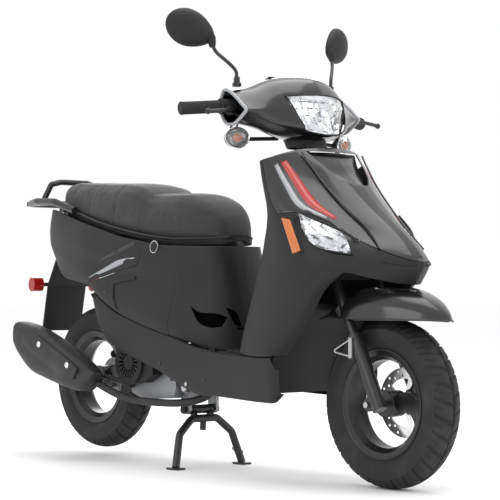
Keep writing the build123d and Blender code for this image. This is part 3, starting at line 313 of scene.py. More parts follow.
# %% Floor
def studio_floor():
    sheet = bpy.data.meshes.new("studio_floor")
    reach = 60.0
    sheet.from_pydata([(-reach, -reach, 0), (reach, -reach, 0), (reach, reach, 0), (-reach, reach, 0)], [],
                      [(0, 1, 2, 3)])
    floor = bpy.data.objects.new("studio_floor", sheet)
    bpy.context.scene.collection.objects.link(floor)
    paint = Finish("floor_paint", (0.985, 0.985, 0.985), 0.9, Specular_IOR_Level=0.1)
    paint.feed("Roughness", paint.noise(3.0) * 0.1 + 0.85)
    sheet.materials.append(paint.material)
    return floor


print("floor:", studio_floor().name)

# %% [markdown]
# ## From a few chosen points to a moulded cover
# A cover is a thin curved sheet. Its shape is easiest to hold as a grid of points, a row for each place
# where the section is known. Smooth curves are drawn through the rows and then through the columns, the
# sheet is given the thickness of real moulding, and a cutter shaped like the panel's side view trims it,
# so that neighbouring covers share one surface and meet at an even seam. The points are in millimetres.

# %% Curves through points
MM = 0.001
WALL = 0.0028


def through(points, steps, corners=()):
    """A smooth curve through points, with a corner where one is wanted."""
    points = [Vector(p) for p in points]
    drawn = []
    for i in range(len(points) - 1):
        before = points[i - 1] if i > 0 and i not in corners else 2 * points[i] - points[i + 1]
        end = i + 1
        last = end == len(points) - 1 or end in corners
        after = 2 * points[end] - points[i] if last else points[end + 1]
        for step in range(steps):
            t = step / steps
            drawn.append(0.5 * (2 * points[i] + (points[end] - before) * t
                                + (2 * before - 5 * points[i] + 4 * points[end] - after) * t ** 2
                                + (3 * points[i] - before - 3 * points[end] + after) * t ** 3))
    return drawn + [points[-1]]


def weave(rows, steps=(6, 6), corners=()):
    """A fine grid through coarse rows. A row may lack its first points, marked None."""
    fine = []
    for row in rows:
        missing = sum(p is None for p in row)
        here = tuple(c - missing for c in corners)
        fine.append([None] * (missing * steps[0]) + through([p for p in row if p], steps[0], here))
    columns = []
    for column in zip(*fine):
        solid = [p for p in column if p]
        gap = len(column) - len(solid)
        drawn = through(solid, steps[1]) if len(solid) > 1 else solid
        columns.append(drawn + [None] * (gap * steps[1]))
    return [list(line) for line in zip(*columns)]


print("curves ready, walls of", WALL / MM, "mm")


# %% Meshes from grids
def piece(name, mesh, finish, smooth=True):
    thing = bpy.data.objects.new(name, mesh)
    bpy.context.scene.collection.objects.link(thing)
    mesh.materials.append(finish)
    for face in mesh.polygons:
        face.use_smooth = smooth
    return thing


def sheet_mesh(name, grid, mirror=None, close=False):
    """A sheet through a grid of points in millimetres. mirror 1 or -1 keeps one side, 0 makes both."""
    work = bmesh.new()
    sides = {None: (1,), 0: (1, -1), 1: (1,), -1: (-1,)}[mirror]
    for side in sides:
        net = [[work.verts.new((p[0] * MM, side * p[1] * MM, p[2] * MM)) if p else None for p in row]
               for row in grid]
        for low, high in zip(net, net[1:]):
            spans = list(zip(low, low[1:], high[1:], high))
            if close:
                spans.append((low[-1], low[0], high[0], high[-1]))
            for corner in spans:
                if None not in corner:
                    work.faces.new(corner if side > 0 else corner[::-1])
    bmesh.ops.remove_doubles(work, verts=work.verts, dist=0.0002)
    bmesh.ops.recalc_face_normals(work, faces=work.faces)
    mesh = bpy.data.meshes.new(name)
    work.to_mesh(mesh)
    work.free()
    return mesh


def settle(thing):
    """Apply the modifiers of a piece, so that its mesh is final."""
    flat = bpy.data.meshes.new_from_object(thing.evaluated_get(bpy.context.evaluated_depsgraph_get()))
    for made in list(thing.modifiers):
        thing.modifiers.remove(made)
    thing.data = flat
    return thing


def outward(thing, inside):
    """Turn a sheet's faces away from a point inside it."""
    inside = Vector(inside) * MM
    mesh = thing.data
    score = sum((f.center - inside).normalized().dot(f.normal) * f.area for f in mesh.polygons)
    if score < 0:
        mesh.flip_normals()
    return thing


def thicken(thing, wall=WALL):
    """Give a sheet its wall, inward from the shape that was drawn."""
    solid = thing.modifiers.new("wall", "SOLIDIFY")
    solid.thickness, solid.offset = wall, -1
    solid.use_even_offset = True
    return settle(thing)


print("sheets, walls and modifiers ready")


# %% Cutters and edges
def prism(outline, low, high, axis="y"):
    """A cutter: a closed outline in millimetres, drawn out between two places along an axis."""
    work = bmesh.new()
    order = {"y": lambda a, b, c: (a, c, b), "z": lambda a, b, c: (a, b, c), "x": lambda a, b, c: (c, a, b)}
    ends = [[work.verts.new(Vector(order[axis](a, b, level)) * MM) for a, b in outline]
            for level in (low, high)]
    work.faces.new(ends[0])
    work.faces.new(ends[1][::-1])
    for i in range(len(outline)):
        j = (i + 1) % len(outline)
        work.faces.new((ends[0][j], ends[0][i], ends[1][i], ends[1][j]))
    bmesh.ops.recalc_face_normals(work, faces=work.faces)
    mesh = bpy.data.meshes.new("cutter")
    work.to_mesh(mesh)
    work.free()
    return mesh


def cut(thing, tool, operation="DIFFERENCE"):
    """Trim a piece with a cutter's mesh, which is used up."""
    cutter = bpy.data.objects.new("cutter", tool)
    bpy.context.scene.collection.objects.link(cutter)
    trim = thing.modifiers.new("trim", "BOOLEAN")
    trim.operation, trim.object, trim.solver = operation, cutter, "EXACT"
    settle(thing)
    bpy.data.objects.remove(cutter)
    return thing


def soften(thing, width=0.6, angle=38):
    """A small radius along the cut edges, which catches the light as moulded edges do."""
    edge = thing.modifiers.new("edge", "BEVEL")
    edge.width, edge.segments, edge.limit_method = width * MM, 2, "ANGLE"
    edge.angle_limit = math.radians(angle)
    settle(thing)
    for face in thing.data.polygons:
        face.use_smooth = True
    keep_sharp(thing, angle)
    return thing


def keep_sharp(thing, angle=38):
    """Smooth shading, broken only where faces meet at more than an angle."""
    work = bmesh.new()
    work.from_mesh(thing.data)
    for line in work.edges:
        if len(line.link_faces) == 2 and line.calc_face_angle(0) > math.radians(angle):
            line.smooth = False
    work.to_mesh(thing.data)
    work.free()
    return thing


print("cutters ready")


# %% Dressing a body, lofts, rods and turned pieces
def dress(thing, body, slot, *stands_for):
    """Fix a piece to its body and hide the CAD parts it stands for."""
    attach(thing, body)
    if stands_for:
        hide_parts(*stands_for)
    print(f"{thing.name}: {len(thing.data.polygons)} faces on {body}")
    return thing


def ring_loft(name, rings, finish, mirror=1, capped=True):
    """A closed skin through rings of points in millimetres."""
    mesh = sheet_mesh(name, rings, mirror, close=True)
    if capped:
        work = bmesh.new()
        work.from_mesh(mesh)
        bmesh.ops.holes_fill(work, edges=[e for e in work.edges if e.is_boundary])
        bmesh.ops.recalc_face_normals(work, faces=work.faces)
        work.to_mesh(mesh)
        work.free()
    return keep_sharp(piece(name, mesh, finish), 50)


def tube(name, points, radius, finish, sides=12):
    """A bent rod or cable along given points in millimetres, as a mesh."""
    curve = bpy.data.curves.new(name, "CURVE")
    curve.dimensions, curve.bevel_depth, curve.bevel_resolution = "3D", radius * MM, sides // 4
    curve.use_fill_caps = True
    line = curve.splines.new("NURBS")
    line.points.add(len(points) - 1)
    for place, point in zip(line.points, points):
        place.co = (*(Vector(point) * MM), 1)
    line.order_u, line.use_endpoint_u, line.resolution_u = 3, True, 8
    maker = bpy.data.objects.new(name, curve)
    bpy.context.scene.collection.objects.link(maker)
    mesh = bpy.data.meshes.new_from_object(maker.evaluated_get(bpy.context.evaluated_depsgraph_get()))
    bpy.data.objects.remove(maker)
    mesh.materials.clear()
    return keep_sharp(piece(name, mesh, finish), 50)


def spun(name, profile, finish, centre, axis, steps=72, closed=False):
    """A turned piece: a profile of (radius, along) in millimetres round an axis through a centre."""
    axis = Vector(axis).normalized()
    across = axis.orthogonal().normalized()
    rows = []
    for step in range(steps):
        spoke = Matrix.Rotation(2 * math.pi * step / steps, 3, axis) @ across
        rows.append([Vector(centre) + spoke * r + axis * a for r, a in profile])
    work = bmesh.new()
    net = [[work.verts.new(p * MM) for p in row] for row in rows]
    count = len(profile)
    for low, high in zip(net, net[1:] + net[:1]):
        for i in range(count if closed else count - 1):
            j = (i + 1) % count
            work.faces.new((low[i], low[j], high[j], high[i]))
    bmesh.ops.remove_doubles(work, verts=work.verts, dist=0.00001)
    bmesh.ops.recalc_face_normals(work, faces=work.faces)
    mesh = bpy.data.meshes.new(name)
    work.to_mesh(mesh)
    work.free()
    return keep_sharp(piece(name, mesh, finish), 35)


def middle_of(node):
    """The centre of a CAD node's box, in millimetres."""
    low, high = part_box(node)
    return (low + high) / 2 / MM


def joined(name, things):
    """Several meshes as one piece, each keeping its finish."""
    work = bmesh.new()
    finishes = []
    for thing in things:
        mesh = thing.data
        start = len(work.faces)
        work.from_mesh(mesh)
        work.faces.ensure_lookup_table()
        lookup = []
        for finish in mesh.materials:
            if finish not in finishes:
                finishes.append(finish)
            lookup.append(finishes.index(finish))
        for face in work.faces[start:]:
            face.material_index = lookup[min(face.material_index, len(lookup) - 1)]
    mesh = bpy.data.meshes.new(name)
    work.to_mesh(mesh)
    work.free()
    for finish in finishes:
        mesh.materials.append(finish)
    for thing in things:
        bpy.data.objects.remove(thing)
    whole = bpy.data.objects.new(name, mesh)
    bpy.context.scene.collection.objects.link(whole)
    return whole


FAR_OUT = 400  # well outside the widest cover, in millimetres


def laid_on(skin, name, rows, side, proud, wall, finish):
    """A thin piece laid on a skin: rows of (x, z) seen from one side, dropped onto it and thickened."""
    landed = []
    for row in rows:
        line = []
        for x, z in row:
            start = Vector((x, side * FAR_OUT, z)) * MM
            found, place, normal, _ = skin.ray_cast(start, Vector((0, -side, 0)))
            line.append((place + normal * proud * MM) / MM if found else start / MM)
        landed.append(line)
    made = piece(name, sheet_mesh(name, weave(landed, (8, 2)), None), finish)
    outward(made, middle_under(landed, side))
    return thicken(made, wall * MM)


def middle_under(rows, side):
    """A point well inside the body, behind some points of its skin."""
    spots = [Vector(p) for row in rows for p in row]
    centre = sum(spots, Vector()) / len(spots)
    return centre - Vector((0, side * 100, 0))


print("tools ready")

# %% [markdown]
# ## The front body
# The shield that meets the wind is one flowing form: a gloss apron with a raised V down its middle, and
# round and below it a matt cover that makes the nose, the wings beside the wheel and the shield for the
# rider's shins. One grid of points carries the whole form, so highlights run on from one cover to the
# next, and each cover is then trimmed from it. Only the left half is drawn, and the right mirrors it.

# %% The shared form
front_rows = [
    [(474, 0, 881), (472, 45, 879), (464, 85, 875), (452, 112, 871), (432, 142, 862), (412, 166, 852),
     (398, 180, 846), (388, 182, 841), (380, 174, 836)],
    [(527, 0, 836), (523, 40, 836), (508, 76, 834), (486, 106, 831), (461, 140, 823), (438, 170, 813),
     (418, 186, 802), (402, 187, 798), (390, 175, 796)],
    [(580, 0, 780), (575, 34, 780), (557, 68, 779), (531, 98, 777), (506, 140, 769), (482, 174, 759),
     (455, 193, 748), (424, 192, 744), (402, 174, 744)],
    [(651, 0, 713), (645, 28, 713), (626, 56, 713), (598, 86, 713), (572, 132, 705), (543, 172, 696),
     (506, 195, 690), (450, 196, 688), (409, 174, 690)],
    [(730, 0, 651), (723, 24, 651), (703, 46, 651), (675, 68, 651), (641, 118, 645), (598, 166, 636),
     (548, 197, 632), (465, 198, 630), (396, 173, 632)],
    [(781, 0, 606), (772, 26, 606), (749, 54, 606), (718, 82, 606), (676, 126, 603), (622, 174, 598),
     (560, 199, 592), (465, 199, 590), (384, 172, 590)],
    [(804, 0, 569), (792, 30, 569), (766, 60, 569), (732, 90, 569), (688, 132, 567), (626, 178, 563),
     (556, 200, 560), (460, 199, 558), (371, 171, 558)],
    [(772, 0, 517), (762, 30, 519), (738, 62, 525), (707, 98, 535), (662, 142, 548), (604, 180, 532),
     (540, 199, 526), (448, 198, 523), (358, 170, 526)],
    [None, None, None, None, (603, 151, 502), (576, 182, 492), (522, 198, 486), (430, 196, 483),
     (342, 169, 485)],
    [None, None, None, None, (543, 151, 420), (520, 181, 418), (476, 196, 415), (395, 193, 413),
     (315, 168, 418)],
    [None, None, None, None, (501, 151, 379), (482, 179, 376), (443, 192, 374), (370, 189, 374),
     (300, 167, 380)],
    [None, None, None, None, (459, 151, 337), (446, 174, 334), (415, 187, 332), (352, 184, 332),
     (288, 166, 338)],
]
front_form = weave(front_rows, (6, 7), corners=(3,))
form_inside = (480, 0, 600)


def front_panel(name, finish, wall=WALL):
    """The whole front form as a thick sheet, ready to be trimmed."""
    shell = piece(name, sheet_mesh(name, front_form, 0), finish)
    return thicken(outward(shell, form_inside), wall)


def smooth_outline(points, steps=5, corners=()):
    """A closed outline with flowing sides: a curve through points, then straight home."""
    return [tuple(p[:2]) for p in through([(a, b, 0) for a, b in points], steps, corners)]


SEAM_HALF = 0.8
apron_edge = smooth_outline([(394, 853), (420, 790), (454, 727), (476, 700), (520, 704), (560, 697),
                             (600, 676), (640, 650), (690, 622), (748, 596), (812, 570)], 5, (3,))
apron_outline = apron_edge + [(900, 600), (900, 1000), (394, 1000)]
lamp_points = smooth_outline([(533, 704), (552, 660), (585, 618), (640, 596), (684, 588), (650, 634),
                              (600, 672), (533, 704)], 4, (4,))[:-1]
print("front form:", len(front_form), "by", len(front_form[0]), "points")

# %% [markdown]
# ### Apron
# The apron is trimmed from the form by its side view, and its cut edge is rounded so that it catches the
# light. Near its top an opening is let in, and a dished insert closes it from behind.

# %% Apron
apron = front_panel("front_apron", gloss_cover)
cut(apron, prism(apron_outline, -400, 400), "INTERSECT")
insert_opening = [(-92, 868), (92, 868), (60, 800), (26, 776), (-26, 776), (-60, 800)]
cut(apron, prism(insert_opening, 440, 640, "x"))
soften(apron, 1.1)
dress(apron, "chassis", "black_gloss_panel", "front_cover")

insert_rows = [[(x - 7 - 4 * dip, y, z) for x, y, z, dip in row] for row in (
    [(482, 0, 868, 0), (480, 40, 867, 0), (468, 92, 866, 0)],
    [(518, 0, 836, 1), (512, 36, 836, 1), (492, 78, 836, 0)],
    [(548, 0, 806, 2), (543, 30, 806, 2), (527, 62, 806, 1)],
    [(584, 0, 774, 0), (580, 16, 774, 0), (573, 28, 774, 0)])]
insert = piece("apron_insert", sheet_mesh("apron_insert", weave(insert_rows, (6, 6)), 0), gloss_cover)
dress(soften(thicken(outward(insert, form_inside), 0.003)), "chassis", "black_gloss_panel")

# A bead of lacquer marks each side of the raised V, and a red and a silver stripe lie on the flank.
CREASE_POINTS = ((468, 110, 862), (497, 103, 826), (540, 95, 774), (607, 84, 712), (683, 66, 652),
                 (724, 80, 606))
red_rows = [[(447, 842), (497, 786), (553, 729), (606, 688)],
            [(437, 838), (486, 780), (541, 722), (603, 684)]]
silver_rows = [[(433, 834), (480, 778), (532, 724), (590, 690)],
               [(429, 828), (472, 774), (524, 718), (588, 686)]]
for side_name, side in SIDES:
    crease = [(x + 3, side * y, z + 2) for x, y, z in CREASE_POINTS]
    dress(tube(f"apron_crease_{side_name}", crease, 2.6, gloss_cover), "chassis", "black_gloss_panel")
    for part, (rows, finish) in enumerate(((red_rows, stripe_red), (silver_rows, accent_silver))):
        band = laid_on(apron, f"apron_stripe_{part}_{side_name}", rows, side, 0.7, 0.9, finish)
        dress(band, "chassis", "black_gloss_panel")

# %% [markdown]
# ### Leg shield, nose band and lamps
# What the apron leaves of the form is the matt cover. It keeps the arch over the wheel, and a hole for the
# three-cornered marker lamp, whose clear lens sits over a bright reflector.

# %% Leg shield and nose
shield = front_panel("leg_shield_cover", matte_cover)
wide_apron = [(x - SEAM_HALF, z - 2 * SEAM_HALF) for x, z in apron_edge] + apron_outline[-3:]
cut(shield, prism(wide_apron, -400, 400))
cut(shield, prism(lamp_points, 96, 300))
cut(shield, prism(lamp_points, -300, -96))
soften(shield, 1.0)
dress(shield, "chassis", "dark_matte_panel", "leg_shield", "nose_cover")

# A thin bead low on the nose marks where its lower face turns under.
for side_name, side in SIDES:
    lip = [(742, side * 84, 577), (768, side * 62, 570), (788, side * 38, 566), (800, side * 18, 565)]
    dress(tube(f"nose_slot_{side_name}", lip, 2.2, plain_trim), "chassis", "black_trim")

# %% Rider's face of the leg shield
inner_rows = [
    [(385, 0, 846), (384, 60, 848), (383, 120, 846), (382, 168, 838)],
    [(392, 0, 800), (391, 60, 800), (391, 120, 800), (392, 171, 797)],
    [(399, 0, 740), (399, 60, 740), (400, 120, 742), (405, 170, 744)],
    [(392, 0, 662), (392, 60, 662), (394, 120, 664), (400, 169, 668)],
    [(376, 0, 600), (376, 60, 600), (378, 120, 602), (388, 168, 606)],
    [(356, 0, 531), (356, 60, 531), (358, 120, 532), (364, 167, 540)],
    [(326, 0, 460), (326, 60, 460), (329, 120, 460), (336, 166, 468)],
    [(298, 0, 392), (298, 60, 392), (301, 120, 392), (307, 165, 398)],
    [(270, 0, 334), (270, 60, 334), (273, 120, 334), (284, 163, 334)],
]
inner = piece("inner_leg_shield", sheet_mesh("inner", weave(inner_rows, (4, 4)), 0), matte_cover)
dress(soften(thicken(outward(inner, (700, 0, 600)), 0.003)), "chassis", "dark_matte_panel")

# %% Marker lamps and reflectors
FLANK_Y = 197  # the widest part of the leg shield, where the amber reflectors sit
lamp_rows = [
    [(536, 178, 703), (533, 179, 699), (530, 180, 695)],
    [(577, 158, 683), (562, 168, 664), (550, 178, 646)],
    [(620, 134, 662), (606, 152, 634), (592, 172, 612)],
    [(660, 108, 636), (650, 126, 614), (640, 142, 598)],
    [(690, 96, 594), (688, 100, 592), (686, 104, 589)],
]
for side_name, side in SIDES:
    rows = [[(x + 3, side * (y + 2), z) for x, y, z in row] for row in lamp_rows]
    grid = weave(rows, (6, 6))
    glass = piece(f"marker_lens_{side_name}", sheet_mesh("lens", grid, None), clear_lens)
    outward(glass, form_inside)
    dress(thicken(glass, 0.002), "chassis", "clear_lens", *(["apron_lamps"] if side < 0 else []))
    facets = []
    for r, row in enumerate(grid):
        facets.append([p - Vector((10, side * 10, 0)) + Vector((5, side * 4, 3)) * ((r // 3 + c // 3) % 2)
                       for c, p in enumerate(row)])
    bowl = piece(f"marker_reflector_{side_name}", sheet_mesh("bowl", facets, None), reflector_chrome, False)
    dress(thicken(outward(bowl, form_inside), 0.001), "chassis", "polished_steel")
    rim = [tuple(p + Vector((1, side * 1, 0))) for p in
           [row[0] for row in grid] + [row[-1] for row in grid[::-1]]]
    dress(tube(f"marker_rim_{side_name}", rim, 3.2, plain_trim), "chassis", "black_trim")

    corners = [(497, 690), (528, 684), (568, 604), (541, 596)]
    body = prism(corners, *sorted((side * FLANK_Y, side * (FLANK_Y + 9))))
    block = piece(f"side_reflector_{side_name}", body, amber_lens)
    dress(soften(block, 3.0), "chassis", "amber_lens")
    tray_corners = [(491, 696), (531, 689), (574, 601), (538, 589)]
    tray = prism(tray_corners, *sorted((side * (FLANK_Y - 6), side * (FLANK_Y + 4))))
    back = piece(f"reflector_tray_{side_name}", tray, plain_trim)
    dress(soften(back, 2.0), "chassis", "black_trim")

# %% [markdown]
# ## The body under the seat
# From the footwell the body rises as a rounded prow, pulls in to a waist beside the rider's calves, and
# runs back under the seat to the tail lamp. Again one form serves four covers: the prow, the two side
# covers and the two tail covers. Each line of points below climbs the body from its lower edge to the
# lip under the seat, and the lines run from the prow's middle back to the tail.

# %% The rear form
rear_lines = [
    [(171, 0, 338), (160, 0, 385), (148, 0, 440), (132, 0, 510), (118, 0, 580), (104, 0, 628)],
    [(166, 44, 338), (155, 44, 385), (143, 44, 440), (127, 43, 510), (113, 42, 580), (99, 42, 628)],
    [(148, 86, 340), (138, 87, 385), (125, 84, 440), (110, 79, 510), (98, 80, 580), (84, 80, 628)],
    [(108, 124, 346), (100, 126, 390), (85, 121, 440), (70, 112, 510), (58, 113, 580), (48, 111, 628)],
    [(32, 151, 364), (26, 154, 402), (10, 145, 452), (-4, 131, 514), (-12, 132, 580), (-14, 128, 630)],
    [(-60, 163, 386), (-64, 166, 422), (-72, 155, 466), (-82, 139, 522),
     (-88, 142, 584), (-90, 136, 634)],
    [(-150, 165, 408), (-152, 168, 442), (-160, 157, 484), (-168, 145, 532),
     (-172, 151, 594), (-174, 142, 646)],
    [(-250, 163, 436), (-250, 165, 468), (-256, 157, 506), (-262, 149, 552),
     (-266, 157, 610), (-268, 146, 661)],
    [(-345, 160, 476), (-345, 162, 502), (-348, 157, 532), (-352, 152, 570),
     (-356, 159, 626), (-358, 146, 682)],
    [(-425, 154, 520), (-430, 156, 542), (-438, 153, 566), (-446, 151, 596),
     (-450, 155, 646), (-452, 140, 703)],
    [(-520, 136, 534), (-526, 139, 556), (-534, 139, 580), (-544, 138, 608),
     (-552, 139, 664), (-556, 124, 727)],
    [(-612, 112, 548), (-616, 115, 568), (-622, 117, 592), (-632, 118, 622),
     (-642, 118, 684), (-646, 106, 750)],
    [(-690, 84, 590), (-694, 88, 606), (-702, 91, 626), (-712, 93, 652),
     (-716, 92, 702), (-712, 86, 758)],
    [(-728, 62, 628), (-733, 65, 640), (-741, 67, 656), (-747, 69, 676),
     (-748, 68, 706), (-738, 66, 750)],
]
rear_form = weave(rear_lines, (6, 6))
rear_inside = (-300, 0, 560)
PROW_SEAM = -24
tail_edge = smooth_outline([(-176, 640), (-182, 584), (-260, 566), (-350, 545), (-420, 528), (-436, 500)], 6)
tail_outline = tail_edge + [(-436, 440), (-900, 440), (-900, 900), (-176, 900)]
print("rear form:", len(rear_form), "by", len(rear_form[0]), "points")


# %% Prow and its grilles
def rear_panel(name, finish, side):
    shell = piece(name, sheet_mesh(name, rear_form, side), finish)
    return thicken(outward(shell, rear_inside))


prow = rear_panel("under_seat_cover_skin", matte_cover, 0)
cut(prow, prism([(PROW_SEAM, 300), (300, 300), (300, 700), (PROW_SEAM - 8, 700)], -400, 400), "INTERSECT")
# Three flat vents in its front face.
for y in (-40, 0, 40):
    vent = [(y - 15, 396), (y + 15, 396), (y + 17, 402), (y - 17, 402)]
    cut(prow, prism(vent, 80, 300, "x"))
# Then a leaf-shaped grille low on each flank of the prow, and a smaller one beside it that faces forward.
flank_leaf = smooth_outline([(38, 462), (70, 444), (112, 440), (132, 430), (128, 404), (104, 402), (70, 418),
                             (38, 462)], 5, (3, 4))[:-1]
front_leaf = smooth_outline([(78, 458), (50, 442), (40, 404), (62, 412), (78, 458)], 5, (2,))[:-1]
for side in (1, -1):
    cut(prow, prism(flank_leaf, *sorted((side * 70, side * 220))))
    cut(prow, prism([(side * y, z) for y, z in front_leaf], 120, 300, "x"))
soften(prow, 0.9)
dress(prow, "chassis", "dark_matte_panel", "under_seat_cover")

# Behind the leaves a dark backing follows the prow's own shape, so that nothing shows through; it is painted
# shade, a near-black sheet where the inside of the body would lie in shadow.
backing_lines = [[(x - 14, max(0, y - 12), z) for x, y, z in line[:4]] for line in rear_lines[:6]]
# This near-black finish, with almost no reflection, is painted shade for the hollow behind the grilles.
grille_painted_shade_black = Finish("grille_painted_shade_black", (0.0012, 0.0012, 0.0013), 0.9, Specular_IOR_Level=0.05).material
backing = piece("grille_painted_shade_backing", sheet_mesh("backing", weave(backing_lines, (6, 6)), 0), grille_painted_shade_black)
dress(thicken(outward(backing, rear_inside), 0.002), "chassis", "black_trim")


# %% Side and tail covers
side_skins, tail_skins = {}, {}
for side_name, side in SIDES:
    cover = rear_panel(f"side_cover_skin_{side_name}", matte_cover, side)
    cut(cover, prism([(PROW_SEAM - 2, 300), (-900, 300), (-900, 900), (PROW_SEAM - 10, 900)], -400, 400),
        "INTERSECT")
    cut(cover, prism([(x + SEAM_HALF, z - 2 * SEAM_HALF) for x, z in tail_outline], -400, 400))
    soften(cover, 0.9)
    side_skins[side] = dress(cover, "chassis", "dark_matte_panel", f"side_cover_{side_name}")

    tail = rear_panel(f"tail_cover_skin_{side_name}", matte_cover, side)
    cut(tail, prism(tail_outline, -400, 400), "INTERSECT")
    soften(tail, 1.1)
    tail_skins[side] = dress(tail, "chassis", "dark_matte_panel", f"tail_cover_{side_name}")

# %% [markdown]
# ### Details on the side covers
# The bright slivers along the tail are painted highlights, lighter strips for the sheen on the cover's
# bevelled edges. They and the raised frame on the side cover could be modelled into the covers. Here
# they are thin pieces dropped onto the skin from the side, so they follow it wherever it bends. The seat
# lock and the screws are turned, and stand on the covers.

# %% Slivers and panel frame
# The silver sliver and the darker grey one above it are painted highlights, for the sheen along the tail
# cover's bevelled edges.
sheen_sliver_rows = (
    (accent_silver, [[(-420, 541), (-350, 557), (-270, 577), (-196, 598)],
                     [(-410, 546), (-350, 569), (-270, 593), (-196, 600)]]),
    (fork_paint, [[(-372, 588), (-310, 601), (-250, 617), (-204, 633)],
                  [(-360, 594), (-310, 612), (-250, 633), (-204, 646)]]))
frame_rows = (
    ("step", [[(-306, 532), (-250, 541), (-196, 546)], [(-300, 520), (-250, 530), (-200, 536)]]),
    ("post", [[(-306, 532), (-296, 486), (-280, 452)], [(-292, 524), (-282, 484), (-266, 450)]]))
SLIVER_WALL, FRAME_WALL = 0.9, 3.6
for side_name, side in SIDES:
    for part, (finish, rows) in enumerate(sheen_sliver_rows):
        name = f"tail_sheen_sliver_{part}_{side_name}"
        sliver = laid_on(tail_skins[side], name, rows, side, 0.8, SLIVER_WALL, finish)
        dress(sliver, "chassis", "dark_matte_panel")
    bars = [soften(laid_on(side_skins[side], name, rows, side, 3.0, FRAME_WALL, matte_cover), 1.2)
            for name, rows in frame_rows]
    dress(joined(f"side_panel_frame_{side_name}", bars), "chassis", "dark_matte_panel")

# %% Seat lock and cover screws
KNOB_PLACE = Vector((-116, 139, 628))
KNOB_PROFILE = [(0, 0), (15, 0), (17, 2), (17, 5), (14, 8), (6, 9), (0, 9)]
KNOB_RING = [(15, 6), (18, 6), (18.5, 3), (18, 0), (16, 0)]
SCREW_PROFILE = [(0, 0), (5.5, 0), (6, 1), (4, 2.6), (0, 3)]
SCREW_PLACES = ((-330, 160, 500), (140, 169, 262), (-60, 167, 300))
for side_name, side in SIDES:
    mirrored = Vector((1, side, 1))
    lock_axis = (0, side, 0.1)
    knob = spun(f"seat_lock_knob_{side_name}", KNOB_PROFILE, plain_trim, KNOB_PLACE * mirrored, lock_axis, 36)
    ring = spun("ring", KNOB_RING, polished, KNOB_PLACE * mirrored, lock_axis, 36, closed=True)
    dress(joined(f"seat_lock_{side_name}", [knob, ring]), "chassis", "black_trim")
    for number, place in enumerate(SCREW_PLACES):
        head = spun(f"cover_screw_{number}_{side_name}", SCREW_PROFILE, frame_paint, Vector(place) * mirrored,
                    (0, side, 0), 24)
        dress(head, "chassis", "black_trim")

# %% [markdown]
# ## Lower skirts and footwell
# The skirts are the long sills below the floor. Their outer face is nearly flat and their top and bottom
# edges roll inward. The footwell carries a rubber mat with ribs across it, so that shoes don't slide.

# %% Skirts
sill_lines = [  # x, half width, top edge, bottom edge
    (459, 176, 336, 236), (440, 188, 330, 214), (400, 186, 330, 212), (340, 181, 330, 213),
    (250, 172, 330, 216), (170, 168, 338, 219), (91, 166, 349, 221), (0, 166, 371, 251), (-79, 165, 389, 280),
    (-180, 163, 414, 308), (-270, 161, 438, 332), (-335, 158, 465, 364), (-380, 154, 486, 416),
    (-406, 151, 499, 474),
]
sill_rows = [[(x, y - 17, top - 1), (x, y - 4, top), (x, y + 1, top - 9), (x, y + 3, (top + low) / 2 + 10),
              (x, y, low + 12), (x, y - 7, low), (x, y - 17, low - 1)] for x, y, top, low in sill_lines]
for side_name, side in SIDES:
    skirt = piece(f"side_skirt_{side_name}", sheet_mesh("skirt", weave(sill_rows, (4, 5)), side), matte_cover)
    outward(skirt, (50, side * 120, 300))
    thicken(skirt)
    front_gap = [(430, 335), (470, 335), (470, 300), (452, 300)]
    cut(skirt, prism(front_gap, -300, 300))
    dress(soften(skirt, 0.9), "chassis", "dark_matte_panel", *(["side_skirts"] if side < 0 else []))

# %% Floor mat
deck_rows = [[(x, y, z - 0.02 * abs(y)) for y in (-150, -75, 0, 75, 150)] for x, z in
             ((274, 334), (247, 333), (210, 336), (172, 341))]
deck = piece("floor_deck", sheet_mesh("deck", weave(deck_rows, (4, 4)), None), floor_mat_finish)
outward(deck, (220, 0, 200))
thicken(deck, 0.004)
RIB_OUTLINE = [(268, 334), (246, 333), (212, 337), (180, 341), (180, 345), (212, 341), (246, 337), (268, 338)]
RIB_PITCH, RIB_HALF = 30, 4
ribs = [deck]
for step in range(-4, 5):
    y = RIB_PITCH * step
    rib = piece("rib", prism(RIB_OUTLINE, y - RIB_HALF, y + RIB_HALF), floor_mat_finish)
    ribs.append(soften(rib, 1.2))
dress(joined("floor_mat", ribs), "chassis", "black_trim", "floor_panel")

# %% [markdown]
# ## Front mudguard
# A lacquered hood that steers with the fork. It is a crowned arch, widest over the axle, whose nose runs
# out to a point like a beak. Drawing it as ribs from the crown down to the lower edge gives the beak and
# the crown in one sheet.

# %% Front mudguard
hood_ribs = [
    [(898, 0, 428), (897, 3, 428), (896, 5, 427), (895, 7, 427), (894, 9, 426)],
    [(872, 0, 458), (871, 14, 456), (868, 26, 450), (864, 36, 440), (862, 40, 430)],
    [(832, 0, 484), (831, 24, 482), (828, 44, 473), (824, 58, 456), (822, 66, 430)],
    [(775, 0, 505), (775, 34, 502), (774, 62, 490), (772, 82, 466), (771, 90, 430)],
    [(705, 0, 516), (705, 40, 512), (706, 72, 499), (707, 94, 470), (708, 100, 430)],
    [(635, 0, 511), (636, 42, 507), (638, 76, 494), (641, 98, 468), (643, 104, 431)],
    [(572, 0, 491), (574, 40, 487), (580, 72, 474), (586, 92, 456), (590, 97, 433)],
    [(520, 0, 462), (522, 30, 459), (527, 54, 452), (532, 68, 444), (536, 74, 436)],
    [(480, 0, 433), (481, 24, 432), (483, 44, 431), (485, 56, 431), (486, 61, 431)],
]
hood = piece("front_mudguard_hood", sheet_mesh("hood", weave(hood_ribs, (6, 6)), 0), gloss_cover)
thicken(outward(hood, (690, 0, 216)), 0.003)
RAKE = math.radians(26.5)
LEG_ROOM, LEG_LENGTH = 25, 420
leg_run = Vector((-math.sin(RAKE), 0, math.cos(RAKE)))
